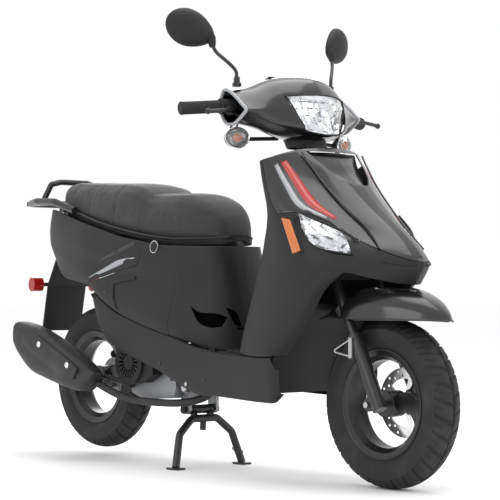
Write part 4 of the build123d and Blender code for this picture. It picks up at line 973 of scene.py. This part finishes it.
for side_name, side in SIDES:
    foot = Vector((716, side * 75, 220))
    leg_profile = [(0, 0), (LEG_ROOM, 0), (LEG_ROOM, LEG_LENGTH), (0, LEG_LENGTH)]
    clearance = spun("leg_room", leg_profile, gloss_cover, foot, leg_run, 40)
    room = clearance.data
    bpy.data.objects.remove(clearance)
    cut(hood, room)
    lip = [(x, side * y, z) for x, y, z in ((894, 8, 427), (862, 41, 430), (822, 67, 430), (771, 91, 430),
                                          (708, 101, 430), (660, 104, 430))]
    dress(tube(f"mudguard_lip_{side_name}", lip, 2.2, gloss_cover), "steering", "black_gloss_panel")
dress(soften(hood, 0.8), "steering", "black_gloss_panel", "front_mudguard")

# %% [markdown]
# ## Seat
# A foam pad under stretched vinyl is never flat: the cover is drawn tight over the foam and swells between
# its seams. The pad's sections are drawn with the step between rider and passenger, and a short cloth
# simulation swells it, which rounds it the way foam does. Then the seams are pressed in and the piping
# is laid along the base.

# %% Pad
seat_stations = [  # x, half width, bottom, top at the middle
    (92, 40, 650, 680), (78, 62, 646, 714), (44, 82, 646, 747), (0, 97, 646, 765), (-60, 108, 646, 776),
    (-130, 118, 652, 778), (-186, 124, 660, 779), (-214, 127, 665, 789), (-250, 130, 671, 806),
    (-310, 131, 682, 816), (-400, 129, 702, 820), (-480, 122, 722, 825), (-560, 110, 742, 829),
    (-620, 97, 757, 833), (-664, 80, 767, 834), (-696, 52, 778, 824),
]
pad_rings = []
for x, half, low, high in seat_stations:
    drop = high - low
    outline = [(0, low), (half * 0.6, low), (half * 0.93, low + 1), (half, low + 0.18 * drop),
               (half * 0.975, low + 0.5 * drop), (half * 0.88, low + 0.8 * drop),
               (half * 0.66, high - 0.05 * drop), (half * 0.3, high), (0, high + 1)]
    loop = outline + [(-y, z) for y, z in outline[-2:0:-1]]
    pad_rings.append([(x, y, z) for y, z in loop])
columns = [through([ring[i] for ring in pad_rings], 3) for i in range(len(pad_rings[0]))]
cushion = ring_loft("seat_pad", [list(r) for r in zip(*columns)], seat_vinyl)


print("pad before it swells:", len(cushion.data.vertices), "points")

# %% Swell the pad
PRESSURE, SWELL_LIMIT, VOXEL, CLOTH_STEPS = 4.0, 0.007, 0.006, 20


def inflate(pad):
    """Remesh a pad, let a cloth simulation swell it, and limit how far any point may go."""
    remesh = pad.modifiers.new("remesh", "REMESH")
    remesh.mode, remesh.voxel_size = "VOXEL", VOXEL
    settle(pad)
    start = [v.co.copy() for v in pad.data.vertices]
    cloth = pad.modifiers.new("foam", "CLOTH")
    cloth.settings.use_pressure = True
    cloth.settings.uniform_pressure_force = PRESSURE
    cloth.settings.effector_weights.gravity = 0
    for step in range(1, CLOTH_STEPS + 1):
        bpy.context.scene.frame_set(step)
    settle(pad)
    bpy.context.scene.frame_set(1)
    for vertex, home in zip(pad.data.vertices, start):
        move = vertex.co - home
        if move.length > SWELL_LIMIT:
            vertex.co = home + move * (SWELL_LIMIT / move.length)
    return pad


def on_base(x):
    """Height of the pad's underside along the scooter, in millimetres."""
    for (x0, _, z0, _), (x1, _, z1, _) in zip(seat_stations, seat_stations[1:]):
        if x1 <= x <= x0:
            return z0 + (z1 - z0) * (x - x0) / (x1 - x0)
    return seat_stations[0][2] if x > 0 else seat_stations[-1][2]


inflate(cushion)
print("pad:", len(cushion.data.vertices), "points")

# %% Seams, base and piping
SEAMS, SEAM_REACH, SEAM_DEPTH, SEAM_LEAN = (-205, -330, -470), 9, 2.2, 0.12
SEAT_TOP = 760
for vertex in cushion.data.vertices:
    x, y, z = vertex.co / MM
    floor_z = on_base(x) + 1
    if z < floor_z:
        vertex.co.z = floor_z * MM
    for seam_x in SEAMS:
        away = abs(x - seam_x - SEAM_LEAN * (z - SEAT_TOP))
        if away < SEAM_REACH and z > on_base(x) + 6:
            depth = SEAM_DEPTH * (1 - away / SEAM_REACH) ** 2
            vertex.co -= vertex.normal * depth * MM
smoother = cushion.modifiers.new("skin", "SUBSURF")
smoother.levels = smoother.render_levels = 1
settle(cushion)
for face in cushion.data.polygons:
    face.use_smooth = True
if not cushion.data.materials:
    cushion.data.materials.append(seat_vinyl)
dress(cushion, "seat", "seat_vinyl", "seat_cushion")

pan_rings = []
for x, half, low, high in seat_stations:
    wide = half * 0.95
    drop = 16 if x > -380 else 30
    outline = [(0, low - drop), (wide * 0.7, low - drop), (wide * 0.96, low - drop + 3), (wide, low + 3),
               (wide * 0.6, low + 5), (0, low + 5)]
    pan_rings.append([(x, y, z) for y, z in outline + [(-y, z) for y, z in outline[-2:0:-1]]])
dress(ring_loft("seat_base_pan", pan_rings, plain_trim), "seat", "black_trim")

for side_name, side in SIDES:
    piping = [(x, side * (half - 1), on_base(x) + 5) for x, half, low, high in seat_stations]
    dress(tube(f"seat_piping_{side_name}", piping, 2.6, seat_vinyl), "seat", "seat_vinyl")

# %% [markdown]
# ## Handlebar cowl
# A lacquered shell closes over the bars like a bird with spread wings: a crest over the headlight, and
# two wings that end in almond-shaped mouths where the grips come out. It is drawn as closed loops seen
# from the side, one after another from the middle to the mouth, and then opened for the lamp, the
# instruments and the steering stem.

# %% Cowl
cowl_loops = [
    (0, [(290, 922), (330, 905), (386, 899), (440, 912), (466, 928), (460, 968), (438, 1012), (422, 1042),
         (394, 1069), (350, 1081), (304, 1081), (264, 1064), (246, 1014), (262, 950)]),
    (52, [(290, 926), (330, 909), (382, 903), (430, 916), (452, 932), (446, 968), (426, 1011), (411, 1039),
          (386, 1064), (346, 1077), (302, 1078), (264, 1061), (246, 1013), (262, 952)]),
    (96, [(288, 936), (325, 920), (370, 914), (408, 925), (428, 940), (424, 972), (408, 1006), (394, 1032),
          (370, 1053), (336, 1065), (299, 1067), (264, 1056), (246, 1012), (262, 956)]),
    (140, [(284, 947), (312, 936), (345, 933), (371, 942), (388, 957), (390, 976), (382, 996), (368, 1015),
           (346, 1032), (320, 1043), (291, 1048), (262, 1043), (249, 1010), (260, 962)]),
    (180, [(280, 950), (300, 944), (326, 944), (347, 954), (364, 965), (373, 977), (360, 991), (344, 1005),
           (326, 1019), (306, 1031), (285, 1038), (263, 1036), (252, 1006), (260, 968)]),
    (204, [(277, 949), (294, 944), (313, 945), (331, 955), (347, 966), (360, 977), (347, 990), (332, 1003),
           (316, 1016), (299, 1028), (282, 1036), (266, 1034), (256, 1004), (262, 968)]),
]
loops = []
for y, loop in cowl_loops:
    closed = [(x, y, z) for x, z in loop]
    loops.append(through([closed[-1]] + closed + closed[:2], 4)[4:-4][:4 * len(closed)])
across = [through(line, 6) for line in zip(*loops)]
cowl_grid = [list(line) for line in zip(*across)]
mirrored_grid = [[Vector((p.x, -p.y, p.z)) for p in row] for row in cowl_grid[:0:-1]]
cowl = piece("cowl_shell", sheet_mesh("cowl", mirrored_grid + cowl_grid, None, close=True), gloss_cover)
thicken(outward(cowl, (340, 0, 985)), 0.003)
lamp_face = smooth_outline([(-105, 1018), (0, 1024), (105, 1018), (90, 976), (66, 924), (0, 911), (-66, 924),
                            (-90, 976), (-105, 1018)], 4, (2, 4, 6))[:-1]
# The openings: for the lamp, for the steering stem, and for the instruments from behind and from above.
cut(cowl, prism(lamp_face, 380, 520, "x"))
cut(cowl, prism([(270, -44), (392, -44), (392, 44), (270, 44)], 860, 960, "z"))
cut(cowl, prism([(-78, 1012), (78, 1012), (72, 1062), (-72, 1062)], 200, 275, "x"))
cut(cowl, prism([(268, -76), (306, -76), (306, 76), (268, 76)], 1040, 1120, "z"))
# The indicator switch slides sideways, so its opening is longer that way.
low, high = (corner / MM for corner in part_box("turn_switch"))
SWITCH_GAP, SWITCH_TRAVEL = 3, 7
back, front = low.x - SWITCH_GAP, high.x + SWITCH_GAP
right, left = low.y - SWITCH_TRAVEL, high.y + SWITCH_TRAVEL
room = [(back, right), (front, right), (front, left), (back, left)]
cut(cowl, prism(room, low.z - SWITCH_GAP, high.z + SWITCH_GAP, "z"))
soften(cowl, 1.0)
dress(cowl, "steering", "black_gloss_panel", "handlebar_cowl")

# %% Neck and mouth rims
# The neck closes the gap between the cowl and the apron, round the steering stem.
neck_rings = []
for x, z, long, wide in ((372, 884, 44, 62), (370, 892, 46, 64), (364, 904, 50, 62), (354, 924, 60, 58)):
    neck_rings.append([(x + long * math.cos(a), wide * math.sin(a), z) for a in
                       (2 * math.pi * k / 40 for k in range(40))])
dress(ring_loft("cowl_neck", neck_rings, plain_trim, capped=False), "steering", "black_trim")

mouth_loop = cowl_grid[-1]
for side_name, side in SIDES:
    loop = [(p.x, side * (p.y + 0.5), p.z) for p in mouth_loop + mouth_loop[:1]]
    dress(tube(f"cowl_mouth_rim_{side_name}", loop, 4.8, accent_silver), "steering", "black_gloss_panel")

# %% [markdown]
# ## Headlight
# The lamp is a bright stepped reflector and a bulb behind a clear moulded lens, wide at the brow and
# narrow at the chin. The facets are flat on purpose, since each one flashes a different piece of the
# studio.

# %% Headlight
lens_half = [  # half of each row across the lens: x, y, z
    [(438, 0, 1023), (429, 52, 1021), (400, 103, 1017)],
    [(454, 0, 992), (443, 48, 991), (417, 92, 988)],
    [(466, 0, 954), (453, 42, 955), (427, 78, 957)],
    [(470, 0, 914), (456, 36, 917), (432, 65, 927)],
]
lens_rows = [[(x, -y, z) for x, y, z in row[:0:-1]] + row for row in lens_half]
lens_grid = weave(lens_rows, (7, 7))
glass = piece("headlight_lens", sheet_mesh("lens", lens_grid, None), clear_lens)
dress(thicken(outward(glass, (380, 0, 970)), 0.0025), "steering", "clear_lens", "headlight")
LAMP_Z, BOWL_DEPTH, FACET_STEP = 970, 34, 3.0
facet_rows = []
for r, row in enumerate(lens_grid):
    line = []
    for c, p in enumerate(row):
        inset = BOWL_DEPTH * (1 - (p.y / 96) ** 2) * (1 - ((p.z - LAMP_Z) / 62) ** 2)
        step = FACET_STEP * ((c // 3 + r // 4) % 2)
        line.append(Vector((p.x - 7 - inset + step, p.y * 0.97, LAMP_Z + (p.z - LAMP_Z) * 0.95)))
    facet_rows.append(line)
bowl = piece("headlight_reflector", sheet_mesh("bowl", facet_rows, None), reflector_chrome, False)
dress(thicken(outward(bowl, (300, 0, 970)), 0.0012), "steering", "polished_steel")
BULB_PLACE, BULB_AXIS = (404, 0, 972), (1, 0, 0.05)
bulb_profile = [(0, 34), (6, 33), (9, 27), (9.5, 14), (7, 8), (7, 0)]
bulb = spun("headlight_bulb", bulb_profile, clear_lens, BULB_PLACE, BULB_AXIS, 32)
dress(bulb, "steering", "clear_lens")
cap_profile = [(0, 42), (8, 41), (12, 37), (12, 33), (10, 33)]
shade = spun("headlight_bulb_cap", cap_profile, reflector_chrome, BULB_PLACE, BULB_AXIS, 32)
dress(shade, "steering", "polished_steel")
rim_points = [tuple(p + Vector((1.5, 0, 0))) for p in
              lens_grid[0] + [row[-1] for row in lens_grid[1:]] + lens_grid[-1][::-1][1:]
              + [row[0] for row in lens_grid[::-1]][1:]]
dress(tube("headlight_rim", rim_points, 2.0, plain_trim), "steering", "black_trim")

# %% [markdown]
# ## Grips, levers, mirrors and front indicators
# The grips are turned rubber with rings for the fingers. Levers are forged blades with a ball at the end.
# Each mirror is an egg-shaped shell on a bent stem, toed in towards the rider's eyes, with real glass.

# %% Grips and levers
GRIP_RINGS, RING_PITCH = 16, 6
for side_name, side in SIDES:
    root, tip = Vector((277, side * 208, 993)), Vector((239, side * 330, 982))
    run = (tip - root).normalized()
    profile = [(11.4, 7), (21, 8), (22, 11), (21, 15), (16.4, 17)]
    for ring in range(GRIP_RINGS):
        at = 21 + RING_PITCH * ring
        profile += [(16.6, at), (17.2, at + 1.4), (17.2, at + 3.6), (16.6, at + 5)]
    profile += [(17.5, 119), (18, 122), (17.5, 127), (14, 129.5), (8, 129), (0, 128.5)]
    handle = spun(f"ribbed_grip_{side_name}", profile, grip_rubber, root, run, 48)
    node = "throttle_grip" if side < 0 else "left_grip"
    dress(handle, "throttle" if side < 0 else "steering", "grip_rubber", node)

    blade_line = [(304, side * 209, 979), (316, side * 222, 979), (326, side * 244, 977),
                  (331, side * 272, 973), (330, side * 304, 969)]
    blade = tube(f"lever_blade_{side_name}", blade_line, 5.2, frame_paint, 16)
    ball_profile = [(0, -8), (5, -6.4), (7.6, -2.5), (8, 0), (7.6, 2.5), (5, 6.4), (0, 8)]
    ball = spun("ball", ball_profile, frame_paint, (330, side * 309, 968.4), (0, 1, 0), 32)
    eye_profile = [(0, -4.4), (9, -4.4), (10, -3.4), (10, 3.4), (9, 4.4), (0, 4.4)]
    eye = spun("eye", eye_profile, frame_paint, (304, side * 213, 979), (0.05, 0, 1), 36)
    lever = joined(f"brake_lever_blade_{side_name}", [blade, ball, eye])
    dress(lever, f"lever_{side_name}", "black_frame", f"brake_lever_{side_name}")

# %% Mirrors
TOE_IN, HEAD_TILT = math.radians(25), math.radians(20)
EGG_POINTS = 48
for side_name, side in SIDES:
    centre = Vector((205, side * 266, 1203))
    out = Vector((-math.sin(TOE_IN), side * math.cos(TOE_IN), 0))
    facing = Vector((math.cos(TOE_IN), side * math.sin(TOE_IN), 0))

    def on_head(angle, size, depth):
        """A point of the mirror's egg-shaped head, by angle, by size and by depth towards the front."""
        reach = 70 * (1 + 0.02 * math.cos(angle))
        height = 47 * (1 + 0.2 * math.cos(angle) - 0.06 * math.cos(2 * angle))
        along, up = reach * math.cos(angle) * size, height * math.sin(angle) * size
        turned = along * math.cos(HEAD_TILT) - up * math.sin(HEAD_TILT)
        raised = along * math.sin(HEAD_TILT) + up * math.cos(HEAD_TILT)
        return centre + out * turned + Vector((0, 0, raised)) + facing * depth

    def egg(size, depth):
        """One ring round the head."""
        return [on_head(2 * math.pi * k / EGG_POINTS, size, depth) for k in range(EGG_POINTS)]

    levels = [(0.02, 26), (0.3, 25), (0.55, 22), (0.76, 16.5), (0.9, 9.5), (0.97, 3), (1.0, -3), (0.985, -7),
              (0.94, -7.5), (0.92, -4.5)]
    shell = ring_loft("shell", [egg(size, depth) for size, depth in levels], plain_trim)
    glass_levels = ((0.918, -4.8), (0.918, -6.2), (0.5, -6.4), (0.02, -6.4))
    glass = ring_loft("glass", [egg(size, depth) for size, depth in glass_levels], mirror_silver)
    inner_end = on_head(math.radians(196), 0.93, 8)
    last_bend = (240, side * 219, 1146)
    stem_line = [(283, side * 172, 1050), (283, side * 172, 1072), (282, side * 173, 1092),
                 (262, side * 196, 1120), last_bend, tuple(inner_end)]
    stem = tube("stem", stem_line, 5, frame_paint, 16)
    nut_profile = [(0, 0), (11, 0), (12, 2), (12, 9), (11, 11), (8.5, 12), (8.5, 24), (7, 27), (0, 27)]
    nut = spun("nut", nut_profile, frame_paint, (283, side * 172, 1047), (0, 0, 1), 6)
    sleeve_profile = [(0, -20), (8, -20), (11, -8), (12, 6), (9, 16), (0, 18)]
    sleeve = spun("sleeve", sleeve_profile, plain_trim, inner_end, inner_end - Vector(last_bend), 24)
    head = joined(f"mirror_assembly_{side_name}", [shell, glass, stem, nut, sleeve])
    keep_sharp(head, 50)
    dress(head, f"mirror_arm_{side_name}", "black_trim", f"mirror_{side_name}")


# %% Indicators
def oval_lamp(name, centre, facing, up, half_wide, half_high, glass_finish, bulb_finish, depth=30):
    """An oval lamp: black back, bright rim, domed lens and a bulb inside."""
    centre, facing, up = Vector(centre), Vector(facing).normalized(), Vector(up).normalized()
    wide = facing.cross(up).normalized()

    def oval(size, along):
        angles = [2 * math.pi * k / 40 for k in range(40)]
        return [centre + facing * along + wide * half_wide * size * math.cos(angle)
                + up * half_high * size * math.sin(angle) for angle in angles]

    def part(part_name, levels, finish, capped=True):
        return ring_loft(part_name, [oval(size, along) for size, along in levels], finish, capped=capped)

    return joined(name, [
        part("back", ((0.05, -depth), (0.45, -depth + 3), (0.8, -depth + 12), (0.97, -8), (1.0, -2), (1.0, 0),
                      (0.9, 0)), plain_trim),
        part("rim", ((0.9, -0.5), (1.02, -0.5), (1.03, 3), (0.93, 4)), reflector_chrome, False),
        part("dish", ((0.92, 2), (0.6, -9), (0.25, -13), (0.05, -13.5)), reflector_chrome, False),
        part("dome", ((0.97, 1), (0.97, 4), (0.88, 10), (0.66, 15), (0.36, 18), (0.05, 19)), glass_finish),
        part("bulb", ((0.2, -12), (0.34, -6), (0.36, 0), (0.24, 6), (0.04, 8)), bulb_finish)])


for side_name, side in SIDES:
    lamp = oval_lamp(f"front_indicator_{side_name}", (309, side * 194, 908), (1, side * 0.35, 0.02),
                     (0, 0, 1), 34, 28, clear_lens, amber_lens)
    dress(lamp, "steering", "clear_lens", *(["front_turn_lamps"] if side < 0 else []))
    stalk = tube(f"indicator_stalk_{side_name}", [(304, side * 46, 914), (303, side * 90, 911),
                                                  (300, side * 168, 906)], 5.5, plain_trim)
    dress(stalk, "steering", "black_trim")
    for number, (bow, rise) in enumerate(((0, 0), (14, 5))):
        loop = [(286, side * (168 + bow), 950), (290, side * (180 + bow), 938 + rise),
                (292, side * (190 + bow), 926 + rise), (294, side * (186 + bow / 2), 914)]
        dress(tube(f"indicator_lead_{side_name}_{number}", loop, 2.6, plain_trim), "steering", "black_trim")
    cable = [(300, side * 196, 974), (318, side * 184, 962), (330, side * 158, 948), (330, side * 128, 940)]
    dress(tube(f"lever_cable_{side_name}", cable, 3.0, plain_trim), "steering", "black_trim")

# %% [markdown]
# ## Tyres and wheels
# A scooter tyre is nearly round in section. Its tread is cut by slanted grooves and a wavy one down the
# middle, and its wall carries fine moulded rings. The grooves are real geometry: a fine net of the
# tyre's skin, whose points are pushed in wherever the groove pattern says.

# %% Tyre
TYRE_RADIUS, TYRE_HALF, BEAD = 216.0, 46.0, 129.0
SHOULDER, CROWN_ANGLE = 168.0, math.radians(66)
GROOVE_DEPTH, PITCHES, PER_PITCH = 4.2, 30, 14


def tread_depth(turn, lateral):
    """How deep the tyre is cut at an angle round it (in pitches) and across it (from -1 to 1)."""
    side = abs(lateral)
    if side > 0.93:
        return 0.0
    phase = (turn + 0.5 * (lateral > 0)) % 1.0
    lead = (phase - 0.55 * side) % 1.0
    slanted = 0.11 < side and lead < 0.17
    short = 0.5 < side < 0.9 and 0.5 < lead < 0.62
    middle_cut = side < 0.055 + 0.03 * math.sin(2 * math.pi * turn)
    return GROOVE_DEPTH * (1.0 if slanted or middle_cut else 0.7 if short else 0.0)


def tyre(name, node, body):
    """A tyre with a cut tread and ringed walls, round the centre of its CAD node."""
    hub = middle_of(node)
    outline = []
    for k in range(49):
        lateral = k / 24 - 1
        angle = lateral * CROWN_ANGLE
        radius = SHOULDER + (TYRE_RADIUS - SHOULDER) * math.cos(angle) ** 0.86
        outline.append((lateral, radius, TYRE_HALF * math.sin(angle) / math.sin(CROWN_ANGLE)))
    wall = [(189, 0.995), (182, 1.0), (179, 0.985), (176, 1.0), (170, 1.0), (167, 0.985), (164, 0.998),
            (156, 0.96), (148, 0.885), (141, 0.79), (139, 0.75), (132, 0.735), (BEAD, 0.72)]
    work = bmesh.new()
    net = []
    count = PITCHES * PER_PITCH
    for step in range(count):
        angle = 2 * math.pi * step / count
        row = []
        for radius, share in reversed(wall):
            row.append((radius, -TYRE_HALF * share))
        for lateral, radius, y in outline:
            row.append((radius - tread_depth(step / PER_PITCH, lateral), y))
        for radius, share in wall:
            row.append((radius, TYRE_HALF * share))
        row.append((BEAD + 2, 22))
        row.append((BEAD + 2, -22))
        along, up = math.cos(angle), math.sin(angle)
        net.append([work.verts.new(Vector((hub.x + r * along, hub.y + y, hub.z + r * up)) * MM)
                    for r, y in row])
    for low, high in zip(net, net[1:] + net[:1]):
        for i in range(len(low)):
            j = (i + 1) % len(low)
            work.faces.new((low[i], low[j], high[j], high[i]))
    bmesh.ops.recalc_face_normals(work, faces=work.faces)
    mesh = bpy.data.meshes.new(name)
    work.to_mesh(mesh)
    work.free()
    dress(keep_sharp(piece(name, mesh, tyre_rubber), 45), body, "tyre_rubber", node)


tyre("front_tyre_skin", "front_tyre", "front_wheel")
tyre("rear_tyre_skin", "rear_tyre", "rear_wheel")

# %% Rim lips and hub rings
def alloy_trim(name, node, body):
    """What the casting shows on top of its CAD form: rounded lips and a raised ring on the hub."""
    hub = middle_of("front_tyre" if "front" in node else "rear_tyre")
    for side_name, side in SIDES:
        lip = [(r, side * y) for r, y in ((137.5, 36.5), (140.5, 37), (140.5, 38.6), (138, 39), (136, 38))]
        ring = spun(f"{name}_lip_{side_name}", lip, wheel_paint, hub, (0, 1, 0), 120, closed=True)
        dress(ring, body, "wheel_black")
    cap_profile = [(20, -27), (33, -27), (34.5, -25), (34.5, -20), (20, -20)]
    cap = spun(f"{name}_hub_ring", cap_profile, wheel_paint, hub, (0, 1, 0), 72, closed=True)
    dress(cap, body, "wheel_black")


alloy_trim("front_wheel_trim", "front_rim", "front_wheel")
alloy_trim("rear_wheel_trim", "rear_rim", "rear_wheel")

# %% [markdown]
# ## Silencer
# A swept box under the right side, flattened like a tail fin. It is drawn as rounded sections from the
# inlet to the blunt end, with a raised heat shield held by two bright screws.

# %% Silencer
NEAR_Y, FAR_Y = -227.0, -145.0
silencer_line = [  # top x, top z, bottom x, bottom z, share of the full width
    (-330, 264, -372, 212, 0.5), (-350, 276, -388, 208, 0.82), (-400, 302, -432, 212, 0.95),
    (-470, 333, -500, 224, 1.0), (-550, 366, -572, 240, 1.0), (-630, 392, -640, 258, 1.0),
    (-690, 405, -698, 298, 0.95), (-726, 409, -730, 330, 0.86), (-737, 402, -738, 342, 0.7),
]
sections = []
for top_x, top_z, low_x, low_z, share in silencer_line:
    top, low = Vector((top_x, 0, top_z)), Vector((low_x, 0, low_z))
    middle_point, half = (top + low) / 2, (top - low) / 2
    mid_y, half_y = (NEAR_Y + FAR_Y) / 2, (FAR_Y - NEAR_Y) / 2 * share
    ring = []
    for k in range(40):
        angle = 2 * math.pi * k / 40
        c, s = math.cos(angle), math.sin(angle)
        y = mid_y + half_y * math.copysign(abs(c) ** 0.55, c)
        ring.append(middle_point + half * math.copysign(abs(s) ** 0.6, s) + Vector((0, y, 0)))
    sections.append(ring)
lines = [through(line, 4) for line in zip(*sections)]
silencer = ring_loft("silencer_box", [list(r) for r in zip(*lines)], exhaust_paint)
guard_outline = smooth_outline([(-374, 276), (-424, 302), (-500, 334), (-600, 372), (-668, 372), (-650, 336),
                                (-560, 292), (-460, 256), (-396, 244), (-374, 276)], 4, (4, 8))[:-1]
guard = piece("guard", prism(guard_outline, NEAR_Y - 4, NEAR_Y + 8), exhaust_paint)
soften(guard, 2.4)
screws = []
for x, z in ((-424, 285), (-572, 343)):
    screws.append(spun("screw", [(0, 0), (9, 0), (9.5, 1.5), (7, 4), (3, 5.2), (0, 5.4)], polished,
                       (x, NEAR_Y - 3.6, z), (0, -1, 0), 28))
outlet = spun("outlet", [(8, 0), (13, 0), (13, 16), (11, 17), (8, 16)], exhaust_paint, (-731, -166, 366),
              (-1, 0, 0.2), 36, closed=True)
header = tube("header", [(14, -20, 276), (14, -21, 240), (6, -40, 204), (-40, -84, 186), (-110, -112, 183),
                         (-250, -124, 186), (-320, -140, 205), (-372, -172, 240)], 11, exhaust_paint, 20)
arm = tube("arm", [(-296, -98, 232), (-360, -122, 246), (-420, -150, 262)], 8, exhaust_paint)
boss = spun("boss", [(0, 0), (14, 0), (14, 22), (0, 22)], exhaust_paint, (-296, -84.6, 232), (0, -1, 0), 32)
exhaust = joined("silencer_and_header", [silencer, guard, outlet, header, arm, boss] + screws)
dress(keep_sharp(exhaust, 45), "power_unit", "exhaust_black", "exhaust")
